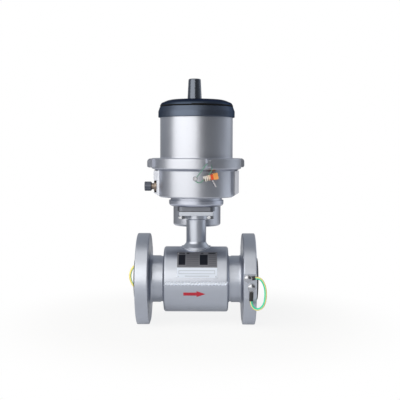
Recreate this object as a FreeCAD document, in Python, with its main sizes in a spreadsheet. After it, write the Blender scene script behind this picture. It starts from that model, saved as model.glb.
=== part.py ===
import FreeCAD, Part
import math
import os
import re
import Sketcher
from FreeCAD import Placement, Rotation, Vector

# Electromagnetic flow meter: a flanged, rubber lined measuring tube in a
# welded coil housing, a round transmitter on a neck above it, a hinged display
# lid with an antenna, a capped service port, a seal and two earth straps.
# Origin: centre of the bore. +X is the direction of flow, +Z is up and the
# nameplate faces -Y. All lengths are millimetres and all angles are degrees.

SIZES = {
    # Measuring tube and its lining
    "tube_radius": 44.45,
    "tube_wall": 2.6,
    "bore_radius": 38.0,
    "lip_radius": 44.0,
    "lip_thick": 6.0,
    "lip_round": 1.5,
    "slip_gap": 0.15,
    # Flanges
    "flange_radius": 95.0,
    "flange_thick": 26.0,
    "flange_face": 121.5,
    "flange_round": 2.0,
    "hub_radius": 48.5,
    "hub_step": 1.3,
    "hub_step_length": 6.7,
    "bolt_circle": 152.4,
    "bolt_hole_diameter": 19.0,
    "foot_depth": 90.0,
    "strap_depth": 91.8,
    # Coil housing
    "shell_radius": 67.4,
    "shell_wall": 3.0,
    "shell_half": 66.2,
    "shell_round": 4.5,
    "shell_lap": 0.5,
    "seam_height": 1.2,
    "bead_radius": 3.2,
    "bead_rise": 1.9,
    # Coils, cores, yoke and electrodes
    "coil_radius": 22.0,
    "coil_gap": 1.44,
    "core_radius": 12.0,
    "yoke_gap": 0.8,
    "yoke_thick": 2.6,
    "yoke_width": 40.0,
    "inner_gap": 0.4,
    "electrode_radius": 3.0,
    "electrode_head": 5.5,
    "electrode_head_thick": 2.8,
    "electrode_sink": 0.6,
    "electrode_gap": 2.8,
    "bush_radius": 8.0,
    "bush_rim": 2.5,
    "electrode_nut_across": 10.0,
    "electrode_nut_height": 4.0,
    # Neck and the square plate on it
    "neck_radius": 20.6,
    "neck_bore": 15.0,
    "neck_flare": 8.0,
    "neck_flare_height": 9.0,
    "boss_radius": 23.6,
    "boss_height": 8.0,
    "boss_round": 2.8,
    "neck_round": 8.0,
    "plate_side": 69.0,
    "plate_base": 134.5,
    "plate_thick": 8.0,
    "plate_bolt_pitch": 58.0,
    "plate_bolt_radius": 4.0,
    "plate_bolt_across": 13.0,
    "plate_bolt_head": 5.3,
    "plate_bolt_grip": 24.0,
    "bolt_play": 0.5,
    "washer_radius": 7.5,
    "washer_thick": 1.5,
    "gasket_thick": 1.5,
    # Adapter between the plate and the transmitter
    "adapter_side": 76.0,
    "adapter_corner": 10.0,
    "adapter_square": 9.0,
    "adapter_radius": 56.4,
    "adapter_tier": 12.0,
    "adapter_round": 6.0,
    "adapter_waist": 53.0,
    "adapter_waist_height": 7.0,
    "adapter_screw_circle": 92.0,
    "adapter_screw_radius": 3.0,
    "adapter_screw_length": 16.0,
    "adapter_screw_head": 4.8,
    "adapter_screw_head_height": 6.0,
    # Lower transmitter housing
    "pot_radius": 80.0,
    "pot_height": 54.0,
    "pot_wall": 7.0,
    "pot_floor": 6.0,
    "pot_round": 3.0,
    "pad_proud": 7.0,
    "pad_half": 28.0,
    "pad_rise": 9.0,
    "pad_slope": 15.0,
    "pad_blend": 6.0,
    "spigot_step": 4.0,
    "spigot_height": 19.0,
    "spigot_play": 0.3,
    "seal_ring_radius": 0.9,
    # Service port on the left pad
    "port_height": 22.0,
    "port_ahead": 18.0,
    "port_notch_depth": 6.0,
    "port_notch_half": 12.3,
    "port_rim_radius": 11.6,
    "port_rim_thick": 5.3,
    "port_stem_radius": 6.5,
    "port_stem_length": 15.5,
    "port_stem_inside": 13.0,
    "port_bore": 3.5,
    "port_cap_radius": 9.6,
    "port_cap_length": 14.5,
    "port_cap_stand": 5.0,
    "port_cap_bevel": 1.6,
    "flute_radius": 1.1,
    "flute_stand": 0.37,
    "flute_count": 14,
    "thread_play": 0.08,
    # Upper transmitter housing with its collar and ears
    "can_radius": 74.9,
    "can_wall": 4.2,
    "can_height": 115.0,
    "collar_radius": 92.5,
    "collar_height": 25.5,
    "collar_bevel": 4.5,
    "collar_lip": 5.7,
    "collar_round": 2.0,
    "ear_reach": 103.0,
    "ear_thick": 7.0,
    "ear_angle": 15.0,
    "ear_round": 7.0,
    "ear_hole_radius": 2.5,
    "ear_hole_reach": 98.0,
    "ear_count": 4,
    # Dark band on top of the can
    "band_radius": 78.8,
    "band_drop": 6.0,
    "band_height": 21.5,
    "band_bevel_height": 9.5,
    "band_bevel": 3.3,
    "band_round": 1.2,
    "band_ledge": 60.0,
    "band_ledge_thick": 5.0,
    "window_radius": 66.0,
    "window_thick": 4.0,
    "window_ring_width": 4.0,
    "window_ring_thick": 1.6,
    # Display lid
    "lid_radius": 74.6,
    "lid_gap": 0.3,
    "lid_groove": 1.8,
    "lid_skirt": 2.6,
    "lid_wall": 3.0,
    "lid_edge": 5.3,
    "lid_shoulder": 56.2,
    "lid_shoulder_rise": 7.6,
    "lid_crown": 20.0,
    "lid_crown_rise": 1.0,
    "lid_edge_round": 7.5,
    "lid_shoulder_round": 40.0,
    "lid_notch_width": 29.0,
    "lid_notch_offset": 5.5,
    "lid_notch_depth": 3.6,
    "lid_notch_rise": 2.6,
    # Lid hinge
    "hinge_back": 81.3,
    "hinge_lift": 0.9,
    "knuckle_radius": 4.0,
    "knuckle_half": 9.0,
    "knuckle_width": 11.0,
    "knuckle_gap": 0.3,
    "hinge_pin_radius": 2.0,
    "hinge_play": 0.05,
    # Antenna
    "antenna_offset": -4.0,
    "antenna_base": 14.7,
    "antenna_top": 12.6,
    "antenna_height": 42.2,
    "antenna_round": 2.8,
    "nipple_radius": 5.0,
    "nipple_length": 8.0,
    "antenna_nut_across": 16.0,
    "antenna_nut_height": 4.0,
    # Inside the transmitter
    "tray_radius": 55.0,
    "tray_thick": 3.0,
    "cell_radius": 16.5,
    "cell_height": 61.0,
    "cell_pitch": 38.0,
    "post_radius": 3.5,
    "post_inset": 10.0,
    "post_height": 84.0,
    "board_radius": 67.0,
    "board_thick": 1.6,
    "display_post_height": 66.0,
    "display_board_radius": 65.5,
    "terminal_length": 60.0,
    "terminal_width": 12.0,
    "terminal_height": 14.0,
    "terminal_pitch": 34.0,
    "screen_length": 84.0,
    "screen_width": 44.0,
    "screen_thick": 7.0,
    "bezel_radius": 59.0,
    "bezel_thick": 1.2,
    "bezel_window_length": 74.0,
    "bezel_window_width": 34.0,
    # Rear battery canister
    "canister_radius": 53.0,
    "canister_wall": 3.0,
    "canister_gap": 6.0,
    "canister_base": 99.5,
    "canister_height": 112.0,
    "canister_round": 5.0,
    "canister_cover_thick": 8.0,
    "canister_cover_round": 3.0,
    "saddle_half": 22.0,
    "saddle_height": 32.0,
    "saddle_drop": 6.0,
    "saddle_screw_pitch": 24.0,
    "saddle_screw_radius": 3.0,
    "saddle_screw_head": 5.0,
    "saddle_screw_length": 20.0,
    "cover_screw_inset": 7.0,
    "cover_screw_radius": 2.5,
    "cover_screw_head": 4.2,
    "cover_screw_head_thick": 3.0,
    "cover_screw_length": 7.0,
    "canister_cell_circle": 42.0,
    # Seal screw, seal and its wire
    "seal_screw_radius": 4.6,
    "seal_screw_thick": 3.2,
    "seal_screw_shank": 2.0,
    "seal_screw_side": -1.5,
    "seal_screw_rise": 39.5,
    "seal_length": 20.0,
    "seal_depth": 6.0,
    "seal_width": 10.5,
    "seal_round": 2.2,
    "seal_insert_length": 10.0,
    "seal_insert_depth": 6.6,
    "seal_insert_width": 13.2,
    "seal_side": 29.0,
    "seal_rise": 42.5,
    "seal_tilt": 12.0,
    "seal_stand": 0.6,
    "seal_tail_radius": 1.6,
    "seal_tail_length": 17.0,
    "seal_tail_offset": 1.5,
    "seal_wire_radius": 0.75,
    # Nameplate
    "nameplate_left": 38.0,
    "nameplate_right": 43.0,
    "nameplate_thick": 0.9,
    "nameplate_low_angle": 10.5,
    "nameplate_high_angle": 61.0,
    # Earth straps
    "upper_lug_x": 103.0,
    "upper_lug_z": 15.0,
    "upper_lug_angle": 8.0,
    "upper_lug_reach": 10.5,
    "lower_lug_x": 110.5,
    "lower_lug_z": -2.5,
    "lower_lug_angle": -92.0,
    "lower_lug_reach": 22.0,
    "lug_ring": 7.2,
    "lug_thick": 2.0,
    "lug_barrel": 2.8,
    "lug_root": 7.8,
    "lug_root_length": 2.2,
    "lug_root_width": 5.0,
    "strap_wire_radius": 2.3,
    "strap_wire_lead": 10.3,
    "sleeve_bore": 2.9,
    "sleeve_radius": 3.9,
    "sleeve_start": 8.2,
    "sleeve_overlap": 4.0,
    "strap_screw_radius": 4.0,
    "strap_screw_across": 13.0,
    "strap_screw_head": 5.5,
    "strap_screw_length": 18.0,
}

CIRCLE = 360.0
CLOSE = 0.01
BEND_SHARE = 0.45

doc = FreeCAD.newDocument("FlowMeter")
sheet = doc.addObject("Spreadsheet::Sheet", "Sizes")
nodes = []


def fill_sheet():
    """Write each driving dimension and its alias into the sheet."""
    for row, (alias, size) in enumerate(SIZES.items(), start=1):
        sheet.set("A%d" % row, alias)
        sheet.set("B%d" % row, str(size))
        sheet.setAlias("B%d" % row, alias)
    doc.recompute()


def bound(text):
    """Return an expression in which each alias refers to the sheet."""
    def refer(match):
        word = match.group(0)
        return "Sizes." + word if word in SIZES else word
    return re.sub(r"[a-z_]+", refer, text)


def number(text):
    """Return the present value of an expression over the sheet."""
    return float(sheet.evalExpression(bound(text)))


def bind(item, path, text):
    """Drive one property of an object by an expression over the sheet."""
    item.setExpression(path, bound(text))


def place(item, x="0", y="0", z="0", rotation=None):
    """Place an object with its base bound to the sheet."""
    if rotation is not None:
        item.Placement = Placement(Vector(), rotation)
    bind(item, "Placement.Base.x", x)
    bind(item, "Placement.Base.y", y)
    bind(item, "Placement.Base.z", z)
    return item


def node(item, label):
    """Register an object as one kept piece."""
    item.Label = label
    nodes.append(item)
    return item


# Sketches and features of a body


def checked(feature):
    """Recompute and make sure that a feature has a valid shape."""
    doc.recompute()
    if feature.Shape.isNull() or not feature.Shape.isValid():
        raise RuntimeError("%s: %s" % (feature.Name, feature.getStatusString()))
    return feature


def new_body(label):
    """Start a body that is one kept piece."""
    return node(doc.addObject("PartDesign::Body", label), label)


def origin_item(body, role):
    """Return the origin plane or axis of a body by its role."""
    return next(item for item in body.Origin.OriginFeatures if item.Role == role)


def new_sketch(body, plane, lift=None):
    """Attach a sketch to an origin plane of its own body."""
    sketch = body.newObject("Sketcher::SketchObject", body.Name + "_sketch")
    sketch.AttachmentSupport = [(origin_item(body, plane), "")]
    sketch.MapMode = "FlatFace"
    if lift is not None:
        bind(sketch, "AttachmentOffset.Base.z", lift)
    return sketch


def drive(sketch, kind, index, point, text):
    """Drive one coordinate of a sketch point from the sheet."""
    size = number(text)
    row = sketch.addConstraint(Sketcher.Constraint(kind, -1, 1, index, point, size))
    bind(sketch, "Constraints[%d]" % row, text)


def outline(sketch, corners):
    """Draw a closed outline of straight sides through driven corners."""
    first = sketch.GeometryCount
    points = [Vector(number(x), number(y), 0) for x, y in corners]
    count = len(points)
    for step in range(count):
        side = Part.LineSegment(points[step], points[(step + 1) % count])
        sketch.addGeometry(side, False)
    for step in range(count):
        following = first + (step + 1) % count
        sketch.addConstraint(Sketcher.Constraint("Coincident", first + step, 2, following, 1))
    for step, (x, y) in enumerate(corners):
        drive(sketch, "DistanceX", first + step, 1, x)
        drive(sketch, "DistanceY", first + step, 1, y)
    return sketch


def rectangle(sketch, left, right, low, high):
    """Draw a driven rectangle."""
    return outline(sketch, [(left, low), (right, low), (right, high), (left, high)])


def circle(sketch, radius, x="0", y="0"):
    """Draw a driven circle."""
    centre = Vector(number(x), number(y), 0)
    index = sketch.addGeometry(Part.Circle(centre, Vector(0, 0, 1), number(radius)), False)
    row = sketch.addConstraint(Sketcher.Constraint("Radius", index, number(radius)))
    bind(sketch, "Constraints[%d]" % row, radius)
    drive(sketch, "DistanceX", index, 3, x)
    drive(sketch, "DistanceY", index, 3, y)
    return sketch


def revolve(body, sketch, axis):
    """Turn a sketch a full turn about one of its own axes."""
    feature = body.newObject("PartDesign::Revolution", body.Name + "_turned")
    feature.Profile = sketch
    feature.ReferenceAxis = (sketch, [axis])
    feature.Angle = CIRCLE
    return checked(feature)


def groove(body, sketch, axis):
    """Cut a full turn of a sketch out of the body."""
    feature = body.newObject("PartDesign::Groove", body.Name + "_groove")
    feature.Profile = sketch
    feature.ReferenceAxis = (sketch, [axis])
    feature.Angle = CIRCLE
    return checked(feature)


def pad(body, sketch, length, midplane=False, reverse=False):
    """Extrude a sketch by a driven length."""
    feature = body.newObject("PartDesign::Pad", body.Name + "_pad")
    feature.Profile = sketch
    feature.Midplane = midplane
    feature.Reversed = reverse
    bind(feature, "Length", length)
    return checked(feature)


def pocket(body, sketch, length=None, midplane=False, reverse=False):
    """Cut a sketch out of the body, by a driven length or right through."""
    before = body.Shape.Volume
    feature = body.newObject("PartDesign::Pocket", body.Name + "_pocket")
    feature.Profile = sketch
    feature.Midplane = midplane
    feature.Reversed = reverse
    if length is None:
        feature.Type = "ThroughAll"
    else:
        bind(feature, "Length", length)
    if checked(feature).Shape.Volume >= before:
        raise RuntimeError(body.Name + ": a pocket removed nothing")
    return feature


def polar(body, features, axis, count):
    """Repeat features about one of the body's origin axes."""
    pattern = body.newObject("PartDesign::PolarPattern", body.Name + "_pattern")
    pattern.Originals = features
    pattern.Axis = (origin_item(body, axis), [""])
    pattern.Angle = CIRCLE
    bind(pattern, "Occurrences", count)
    body.Tip = pattern
    return checked(pattern)


def fillet(body, radius, chosen):
    """Round the edges of the body that pass a test."""
    tip = body.Tip
    names = ["Edge%d" % (row + 1) for row, edge in enumerate(tip.Shape.Edges) if chosen(edge)]
    if not names:
        raise RuntimeError(body.Name + ": no edge to round")
    feature = body.newObject("PartDesign::Fillet", body.Name + "_round")
    feature.Base = (tip, names)
    bind(feature, "Radius", radius)
    return checked(feature)


def rim(axis, along, radius):
    """Return a test for a circular edge about an axis through the origin."""
    spot, size = number(along), number(radius)

    def test(edge):
        curve = edge.Curve
        if not isinstance(curve, Part.Circle):
            return False
        centre = curve.Center
        beside = (centre - axis * centre.dot(axis)).Length
        return beside < CLOSE and abs(centre.dot(axis) - spot) < CLOSE and abs(curve.Radius - size) < CLOSE
    return test


def either(*tests):
    """Return a test that passes where any of the tests does."""
    return lambda edge: any(test(edge) for test in tests)


# Primitives and booleans


def cylinder(name, radius, height, x="0", y="0", z="0", axis=Vector(0, 0, 1), sweep=None):
    """Make a driven cylinder whose base centre is at x, y, z."""
    item = doc.addObject("Part::Cylinder", name)
    bind(item, "Radius", radius)
    bind(item, "Height", height)
    if sweep is not None:
        bind(item, "Angle", sweep)
    return place(item, x, y, z, Rotation(Vector(0, 0, 1), axis))


def hexagon(name, across, height, x="0", y="0", z="0", axis=Vector(0, 0, 1)):
    """Make a driven six-sided prism whose base centre is at x, y, z."""
    item = doc.addObject("Part::Prism", name)
    item.Polygon = 6
    bind(item, "Circumradius", across + " / sqrt(3)")
    bind(item, "Height", height)
    return place(item, x, y, z, Rotation(Vector(0, 0, 1), axis))


def block(name, length, width, height, x, y, z):
    """Make a driven box whose middle is at x and y and whose base is at z."""
    item = doc.addObject("Part::Box", name)
    bind(item, "Length", length)
    bind(item, "Width", width)
    bind(item, "Height", height)
    return place(item, "%s - (%s) / 2" % (x, length), "%s - (%s) / 2" % (y, width), z)


def cut(name, base, tool):
    """Take one shape out of another."""
    item = doc.addObject("Part::Cut", name)
    item.Base = base
    item.Tool = tool
    return item


def common(name, base, tool):
    """Keep what two shapes share."""
    item = doc.addObject("Part::Common", name)
    item.Base = base
    item.Tool = tool
    return item


def fuse(name, shapes):
    """Join shapes into one solid."""
    item = doc.addObject("Part::MultiFuse", name)
    item.Shapes = shapes
    return item


def group(label, shapes):
    """Keep separate solids of one kind together as one piece."""
    item = doc.addObject("Part::Compound", label)
    item.Links = shapes
    return node(item, label)


def made(label, shape):
    """Keep a shape that is worked out here from the sheet's values."""
    item = doc.addObject("Part::Feature", label)
    item.Shape = shape
    item.Placement = Placement()
    return node(item, label)


def ring_of(name, count, first, circle_size, make):
    """Make copies of a shape at equal angles on a circle."""
    spots = []
    for row in range(count):
        angle = first + CIRCLE * row / count
        x = "%s / 2 * cos(%s deg)" % (circle_size, angle)
        y = "%s / 2 * sin(%s deg)" % (circle_size, angle)
        spots.append(make("%s_%d" % (name, row), x, y))
    return spots


# Heights and radii that several pieces share

PLATE_TOP = "(plate_base + plate_thick)"
ADAPTER_BASE = "(%s + gasket_thick)" % PLATE_TOP
ADAPTER_TIER = "(%s + adapter_square)" % ADAPTER_BASE
ADAPTER_WAIST = "(%s + adapter_tier)" % ADAPTER_TIER
POT_BASE = "(%s + adapter_waist_height)" % ADAPTER_WAIST
POT_FLOOR = "(%s + pot_floor)" % POT_BASE
TRAY_RISE = "(adapter_screw_head_height + inner_gap)"
TRAY_BASE = "(%s + %s)" % (POT_FLOOR, TRAY_RISE)
CAN_BASE = "(%s + pot_height)" % POT_BASE
COLLAR_TOP = "(%s + collar_height)" % CAN_BASE
CAN_TOP = "(%s + can_height)" % CAN_BASE
BAND_BASE = "(%s - band_drop)" % CAN_TOP
BAND_TOP = "(%s + band_height)" % BAND_BASE
WINDOW_BASE = "(%s + band_ledge_thick)" % CAN_TOP
LID_BASE = "(%s + lid_groove)" % BAND_TOP
LID_EDGE = "(%s + lid_edge)" % LID_BASE
LID_SHOULDER = "(%s + lid_shoulder_rise)" % LID_EDGE
LID_TOP = "(%s + lid_crown_rise)" % LID_SHOULDER
HINGE_HEIGHT = "(%s + hinge_lift)" % BAND_TOP
POT_INSIDE = "(pot_radius - pot_wall)"
PAD_REACH = "(pot_radius + pad_proud)"
SPIGOT_RADIUS = "(pot_radius - spigot_step)"
COLLAR_BORE = "(%s + spigot_play)" % SPIGOT_RADIUS
POST_CIRCLE = "(2 * (%s - post_inset))" % POT_INSIDE
CAN_INSIDE = "(can_radius - can_wall)"
LINER_RADIUS = "(tube_radius - tube_wall)"
FLANGE_BACK = "(flange_face - flange_thick)"
SHELL_INSIDE = "(shell_radius - shell_wall)"
YOKE_RADIUS = "(%s - yoke_gap - yoke_thick)" % SHELL_INSIDE
COIL_HEIGHT = "(sqrt(%s ^ 2 - coil_radius ^ 2) - tube_radius - coil_gap)" % YOKE_RADIUS
ELECTRODE_BASE = "(bore_radius + electrode_sink)"
PORT_Z = "(%s + port_height)" % POT_BASE
PORT_FACE = "(%s - port_notch_depth)" % PAD_REACH
MAIN_BOARD = "(%s + post_height)" % POT_FLOOR
DISPLAY_BOARD = "(%s + board_thick + display_post_height)" % MAIN_BOARD
SCREEN_BASE = "(%s + board_thick)" % DISPLAY_BOARD
CANISTER_Y = "(pot_radius + canister_gap + canister_radius)"
CANISTER_TOP = "(canister_base + canister_height)"
COVER_CIRCLE = "(canister_radius - cover_screw_inset)"
SADDLE_TOP = "(%s - saddle_drop)" % CANISTER_TOP

X_AXIS = Vector(1, 0, 0)
Y_AXIS = Vector(0, 1, 0)
Z_AXIS = Vector(0, 0, 1)

# The x and y of four spots at right angles, to be filled with a distance
SQUARE_WAYS = (("%s", "0 * %s"), ("-%s", "0 * %s"), ("0 * %s", "%s"), ("0 * %s", "-%s"))

# Direction in which the end of the seal hangs
SEAL_TAIL_WAY = Vector(0.47, 0.2, -0.86)


# Measuring tube, lining and flanges


def measuring_tube():
    """Stainless tube that carries the lining, coils and flanges."""
    body = new_body("measuring_tube")
    sketch = new_sketch(body, "YZ_Plane")
    circle(sketch, "tube_radius")
    circle(sketch, LINER_RADIUS)
    pad(body, sketch, "2 * flange_face", midplane=True)
    pocket(body, circle(new_sketch(body, "XZ_Plane"), "bush_radius"), midplane=True)


def liner():
    """Rubber lining with a sealing lip over each end of the tube."""
    body = new_body("liner")
    end = "(flange_face + lip_thick)"
    sketch = new_sketch(body, "XZ_Plane")
    outline(sketch, [
        ("-" + end, "bore_radius"),
        (end, "bore_radius"),
        (end, "lip_radius"),
        ("flange_face", "lip_radius"),
        ("flange_face", LINER_RADIUS),
        ("-flange_face", LINER_RADIUS),
        ("-flange_face", "lip_radius"),
        ("-" + end, "lip_radius"),
    ])
    revolve(body, sketch, "H_Axis")
    edges = [rim(X_AXIS, side + end, size) for side in ("", "-") for size in ("lip_radius", "bore_radius")]
    fillet(body, "lip_round", either(*edges))
    hole = circle(new_sketch(body, "XZ_Plane"), "electrode_head + slip_gap")
    pocket(body, hole, midplane=True)


def flange(label, turn):
    """Slip-on flange with a stepped hub, a foot flat and a flat for its earth strap."""
    body = new_body(label)
    sketch = new_sketch(body, "XZ_Plane")
    outline(sketch, [
        ("shell_half", "tube_radius + slip_gap"),
        ("flange_face", "tube_radius + slip_gap"),
        ("flange_face", "flange_radius"),
        (FLANGE_BACK, "flange_radius"),
        (FLANGE_BACK, "hub_radius"),
        ("shell_half + hub_step_length", "hub_radius"),
        ("shell_half + hub_step_length", "hub_radius - hub_step"),
        ("shell_half", "hub_radius - hub_step"),
    ])
    revolve(body, sketch, "H_Axis")
    outer = either(rim(X_AXIS, "flange_face", "flange_radius"), rim(X_AXIS, FLANGE_BACK, "flange_radius"))
    fillet(body, "flange_round", outer)
    fillet(body, "flange_round", rim(X_AXIS, FLANGE_BACK, "hub_radius"))
    foot = new_sketch(body, "YZ_Plane")
    rectangle(foot, "-2 * flange_radius", "2 * flange_radius", "-2 * flange_radius", "-foot_depth")
    pocket(body, foot, midplane=True)
    front = new_sketch(body, "YZ_Plane")
    rectangle(front, "-2 * flange_radius", "-strap_depth", "-2 * flange_radius", "2 * flange_radius")
    pocket(body, front, midplane=True)
    hole = new_sketch(body, "YZ_Plane")
    offset = "bolt_circle / sqrt(8)"
    circle(hole, "bolt_hole_diameter / 2", offset, offset)
    polar(body, [pocket(body, hole, midplane=True)], "X_Axis", "4")
    tapped = new_sketch(body, "XZ_Plane", "strap_depth")
    for lug in STRAP_LUGS:
        circle(tapped, "strap_screw_radius + thread_play", lug + "_lug_x", lug + "_lug_z")
    pocket(body, tapped, "strap_screw_length")
    body.Placement = Placement(Vector(), Rotation(Z_AXIS, turn))


# Coil housing and what is in it


def housing_half(label, radius, keep_upper):
    """Pressed half of the coil housing, with its half of both end walls."""
    body = new_body(label)
    outer = "(%s)" % radius
    inner = "(%s - shell_wall)" % radius
    inside = "(shell_half - shell_wall)"
    sketch = new_sketch(body, "XZ_Plane")
    outline(sketch, [
        ("-shell_half", "tube_radius + slip_gap"),
        ("-shell_half", outer),
        ("shell_half", outer),
        ("shell_half", "tube_radius + slip_gap"),
        (inside, "tube_radius + slip_gap"),
        (inside, inner),
        ("-" + inside, inner),
        ("-" + inside, "tube_radius + slip_gap"),
    ])
    revolve(body, sketch, "H_Axis")
    fillet(body, "shell_round", either(rim(X_AXIS, "shell_half", outer), rim(X_AXIS, "-shell_half", outer)))
    away = new_sketch(body, "YZ_Plane")
    span = "2 * shell_radius"
    if keep_upper:
        rectangle(away, "-" + span, span, "-" + span, "seam_height")
    else:
        rectangle(away, "-" + span, span, "seam_height", span)
    pocket(body, away, midplane=True)
    if keep_upper:
        pocket(body, circle(new_sketch(body, "XY_Plane"), "neck_bore"), reverse=True)


def seam_welds():
    """Weld beads along the front and rear seams of the coil housing."""
    beads = []
    for name, side in (("front", "-"), ("rear", "")):
        bead = cylinder(
            "bead_" + name, "bead_radius", "2 * (shell_half - shell_round)",
            "-(shell_half - shell_round)",
            side + "(shell_radius + shell_lap + bead_rise - bead_radius)",
            "seam_height + bead_rise", X_AXIS)
        body = cylinder(
            "bead_bed_" + name, "shell_radius + shell_lap", "2 * shell_half", "-shell_half", axis=X_AXIS)
        beads.append(cut("bead_trimmed_" + name, bead, body))
    group("seam_welds", beads)


def coils():
    """Two round coils and their pole cores, above and below the tube."""
    windings, poles = [], []
    for name, sign in (("upper", ""), ("lower", "-")):
        axis = Vector(0, 0, -1 if sign else 1)
        start = sign + "tube_radius"
        winding = cylinder("winding_" + name, "coil_radius", COIL_HEIGHT, z=start, axis=axis)
        hollow = cylinder("hollow_" + name, "core_radius + inner_gap", COIL_HEIGHT, z=start, axis=axis)
        windings.append(cut("coil_" + name, winding, hollow))
        pole = cylinder("pole_" + name, "core_radius", YOKE_RADIUS, axis=axis)
        bed = cylinder("pole_bed_" + name, "tube_radius", "2 * shell_half", "-shell_half", axis=X_AXIS)
        reach = cylinder("pole_reach_" + name, YOKE_RADIUS, "2 * shell_half", "-shell_half", axis=X_AXIS)
        poles.append(common("core_" + name, cut("pole_cut_" + name, pole, bed), reach))
    group("coils", windings)
    group("cores", poles)


def yoke():
    """Steel ring that closes the magnetic path round the tube."""
    body = new_body("yoke")
    sketch = new_sketch(body, "YZ_Plane")
    circle(sketch, YOKE_RADIUS + " + yoke_thick")
    circle(sketch, YOKE_RADIUS)
    pad(body, sketch, "yoke_width", midplane=True)


def electrodes():
    """Two measuring electrodes with their insulating bushes and nuts."""
    pins, bushes, nuts = [], [], []
    length = "%s - %s - electrode_gap" % (YOKE_RADIUS, ELECTRODE_BASE)
    seat = "(tube_radius + bush_rim)"
    for name, sign in (("front", "-"), ("rear", "")):
        axis = Vector(0, -1 if sign else 1, 0)
        head = cylinder("electrode_head_" + name, "electrode_head", "electrode_head_thick",
                        y=sign + ELECTRODE_BASE, axis=axis)
        shank = cylinder("electrode_shank_" + name, "electrode_radius", length,
                         y=sign + ELECTRODE_BASE, axis=axis)
        pins.append(fuse("electrode_" + name, [head, shank]))
        bush = cylinder("bush_outer_" + name, "bush_radius - slip_gap", seat + " - " + LINER_RADIUS,
                        y=sign + LINER_RADIUS, axis=axis)
        way = cylinder("bush_way_" + name, "electrode_radius + slip_gap", "tube_radius",
                       y=sign + "bore_radius", axis=axis)
        lining = cylinder("bush_bed_" + name, LINER_RADIUS, "2 * shell_half", "-shell_half", axis=X_AXIS)
        bushes.append(cut("bush_" + name, cut("bush_drilled_" + name, bush, way), lining))
        nut = hexagon("electrode_hexagon_" + name, "electrode_nut_across", "electrode_nut_height",
                      y=sign + seat, axis=axis)
        thread = cylinder("electrode_thread_" + name, "electrode_radius + slip_gap", "tube_radius",
                          y=sign + "bore_radius", axis=axis)
        nuts.append(cut("electrode_nut_" + name, nut, thread))
    group("electrodes", pins)
    group("electrode_bushes", bushes)
    group("electrode_nuts", nuts)


# Neck, plate and adapter


def neck():
    """Neck tube with a flared weld foot below and a square plate above."""
    body = new_body("neck")
    sketch = new_sketch(body, "XZ_Plane")
    start = "(shell_radius - neck_flare_height)"
    boss = "(plate_base - boss_height)"
    outline(sketch, [
        ("neck_bore", start),
        ("neck_radius + neck_flare", start),
        ("neck_radius + neck_flare", "shell_radius"),
        ("neck_radius", "shell_radius + neck_flare_height"),
        ("neck_radius", boss),
        ("boss_radius", boss),
        ("boss_radius", "plate_base + plate_thick / 2"),
        ("neck_bore", "plate_base + plate_thick / 2"),
    ])
    revolve(body, sketch, "V_Axis")
    fillet(body, "boss_round", rim(Z_AXIS, boss, "neck_radius"))
    fillet(body, "neck_round", rim(Z_AXIS, "shell_radius + neck_flare_height", "neck_radius"))
    plate = new_sketch(body, "XY_Plane", "plate_base")
    half = "plate_side / 2"
    rectangle(plate, "-" + half, half, "-" + half, half)
    circle(plate, "neck_bore")
    pad(body, plate, "plate_thick")
    holes = new_sketch(body, "XY_Plane", PLATE_TOP)
    for x in ("", "-"):
        for y in ("", "-"):
            circle(holes, "plate_bolt_radius + bolt_play", x + "plate_bolt_pitch / 2", y + "plate_bolt_pitch / 2")
    pocket(body, holes, "plate_thick")
    saddle = new_sketch(body, "YZ_Plane")
    circle(saddle, "shell_radius")
    pocket(body, saddle, midplane=True)


def neck_gasket():
    """Flat gasket between the plate and the adapter."""
    body = new_body("neck_gasket")
    sketch = new_sketch(body, "XY_Plane", PLATE_TOP)
    half = "plate_side / 2"
    rectangle(sketch, "-" + half, half, "-" + half, half)
    circle(sketch, "neck_bore")
    for x in ("", "-"):
        for y in ("", "-"):
            circle(sketch, "plate_bolt_radius + bolt_play", x + "plate_bolt_pitch / 2", y + "plate_bolt_pitch / 2")
    pad(body, sketch, "gasket_thick")


def base_adapter():
    """Cast adapter: a square foot, a rounded round tier and a waist."""
    body = new_body("base_adapter")
    foot = new_sketch(body, "XY_Plane", ADAPTER_BASE)
    half = "adapter_side / 2"
    rectangle(foot, "-" + half, half, "-" + half, half)
    pad(body, foot, "adapter_square + adapter_tier / 2")
    corner = number(half)

    def upright(edge):
        box = edge.BoundBox
        return abs(abs(box.Center.x) - corner) < CLOSE and abs(abs(box.Center.y) - corner) < CLOSE
    fillet(body, "adapter_corner", upright)
    sketch = new_sketch(body, "XZ_Plane")
    outline(sketch, [
        ("0", ADAPTER_TIER),
        ("adapter_radius", ADAPTER_TIER),
        ("adapter_radius", ADAPTER_WAIST),
        ("adapter_waist", ADAPTER_WAIST),
        ("adapter_waist", POT_BASE),
        ("0", POT_BASE),
    ])
    revolve(body, sketch, "V_Axis")
    fillet(body, "adapter_round", rim(Z_AXIS, ADAPTER_TIER, "adapter_radius"))
    way = new_sketch(body, "XY_Plane", POT_BASE)
    circle(way, "neck_bore")
    pocket(body, way)
    tapped = new_sketch(body, "XY_Plane", ADAPTER_BASE)
    for x in ("", "-"):
        for y in ("", "-"):
            circle(tapped, "plate_bolt_radius + thread_play",
                   x + "plate_bolt_pitch / 2", y + "plate_bolt_pitch / 2")
    pocket(body, tapped, "plate_bolt_grip - plate_thick - gasket_thick - washer_thick", reverse=True)
    ways = new_sketch(body, "XY_Plane", POT_BASE)
    for x, y in SQUARE_WAYS:
        circle(ways, "adapter_screw_radius + thread_play", x % "adapter_screw_circle / 2",
               y % "adapter_screw_circle / 2")
    pocket(body, ways, "adapter_screw_length - pot_floor + bolt_play")



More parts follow.
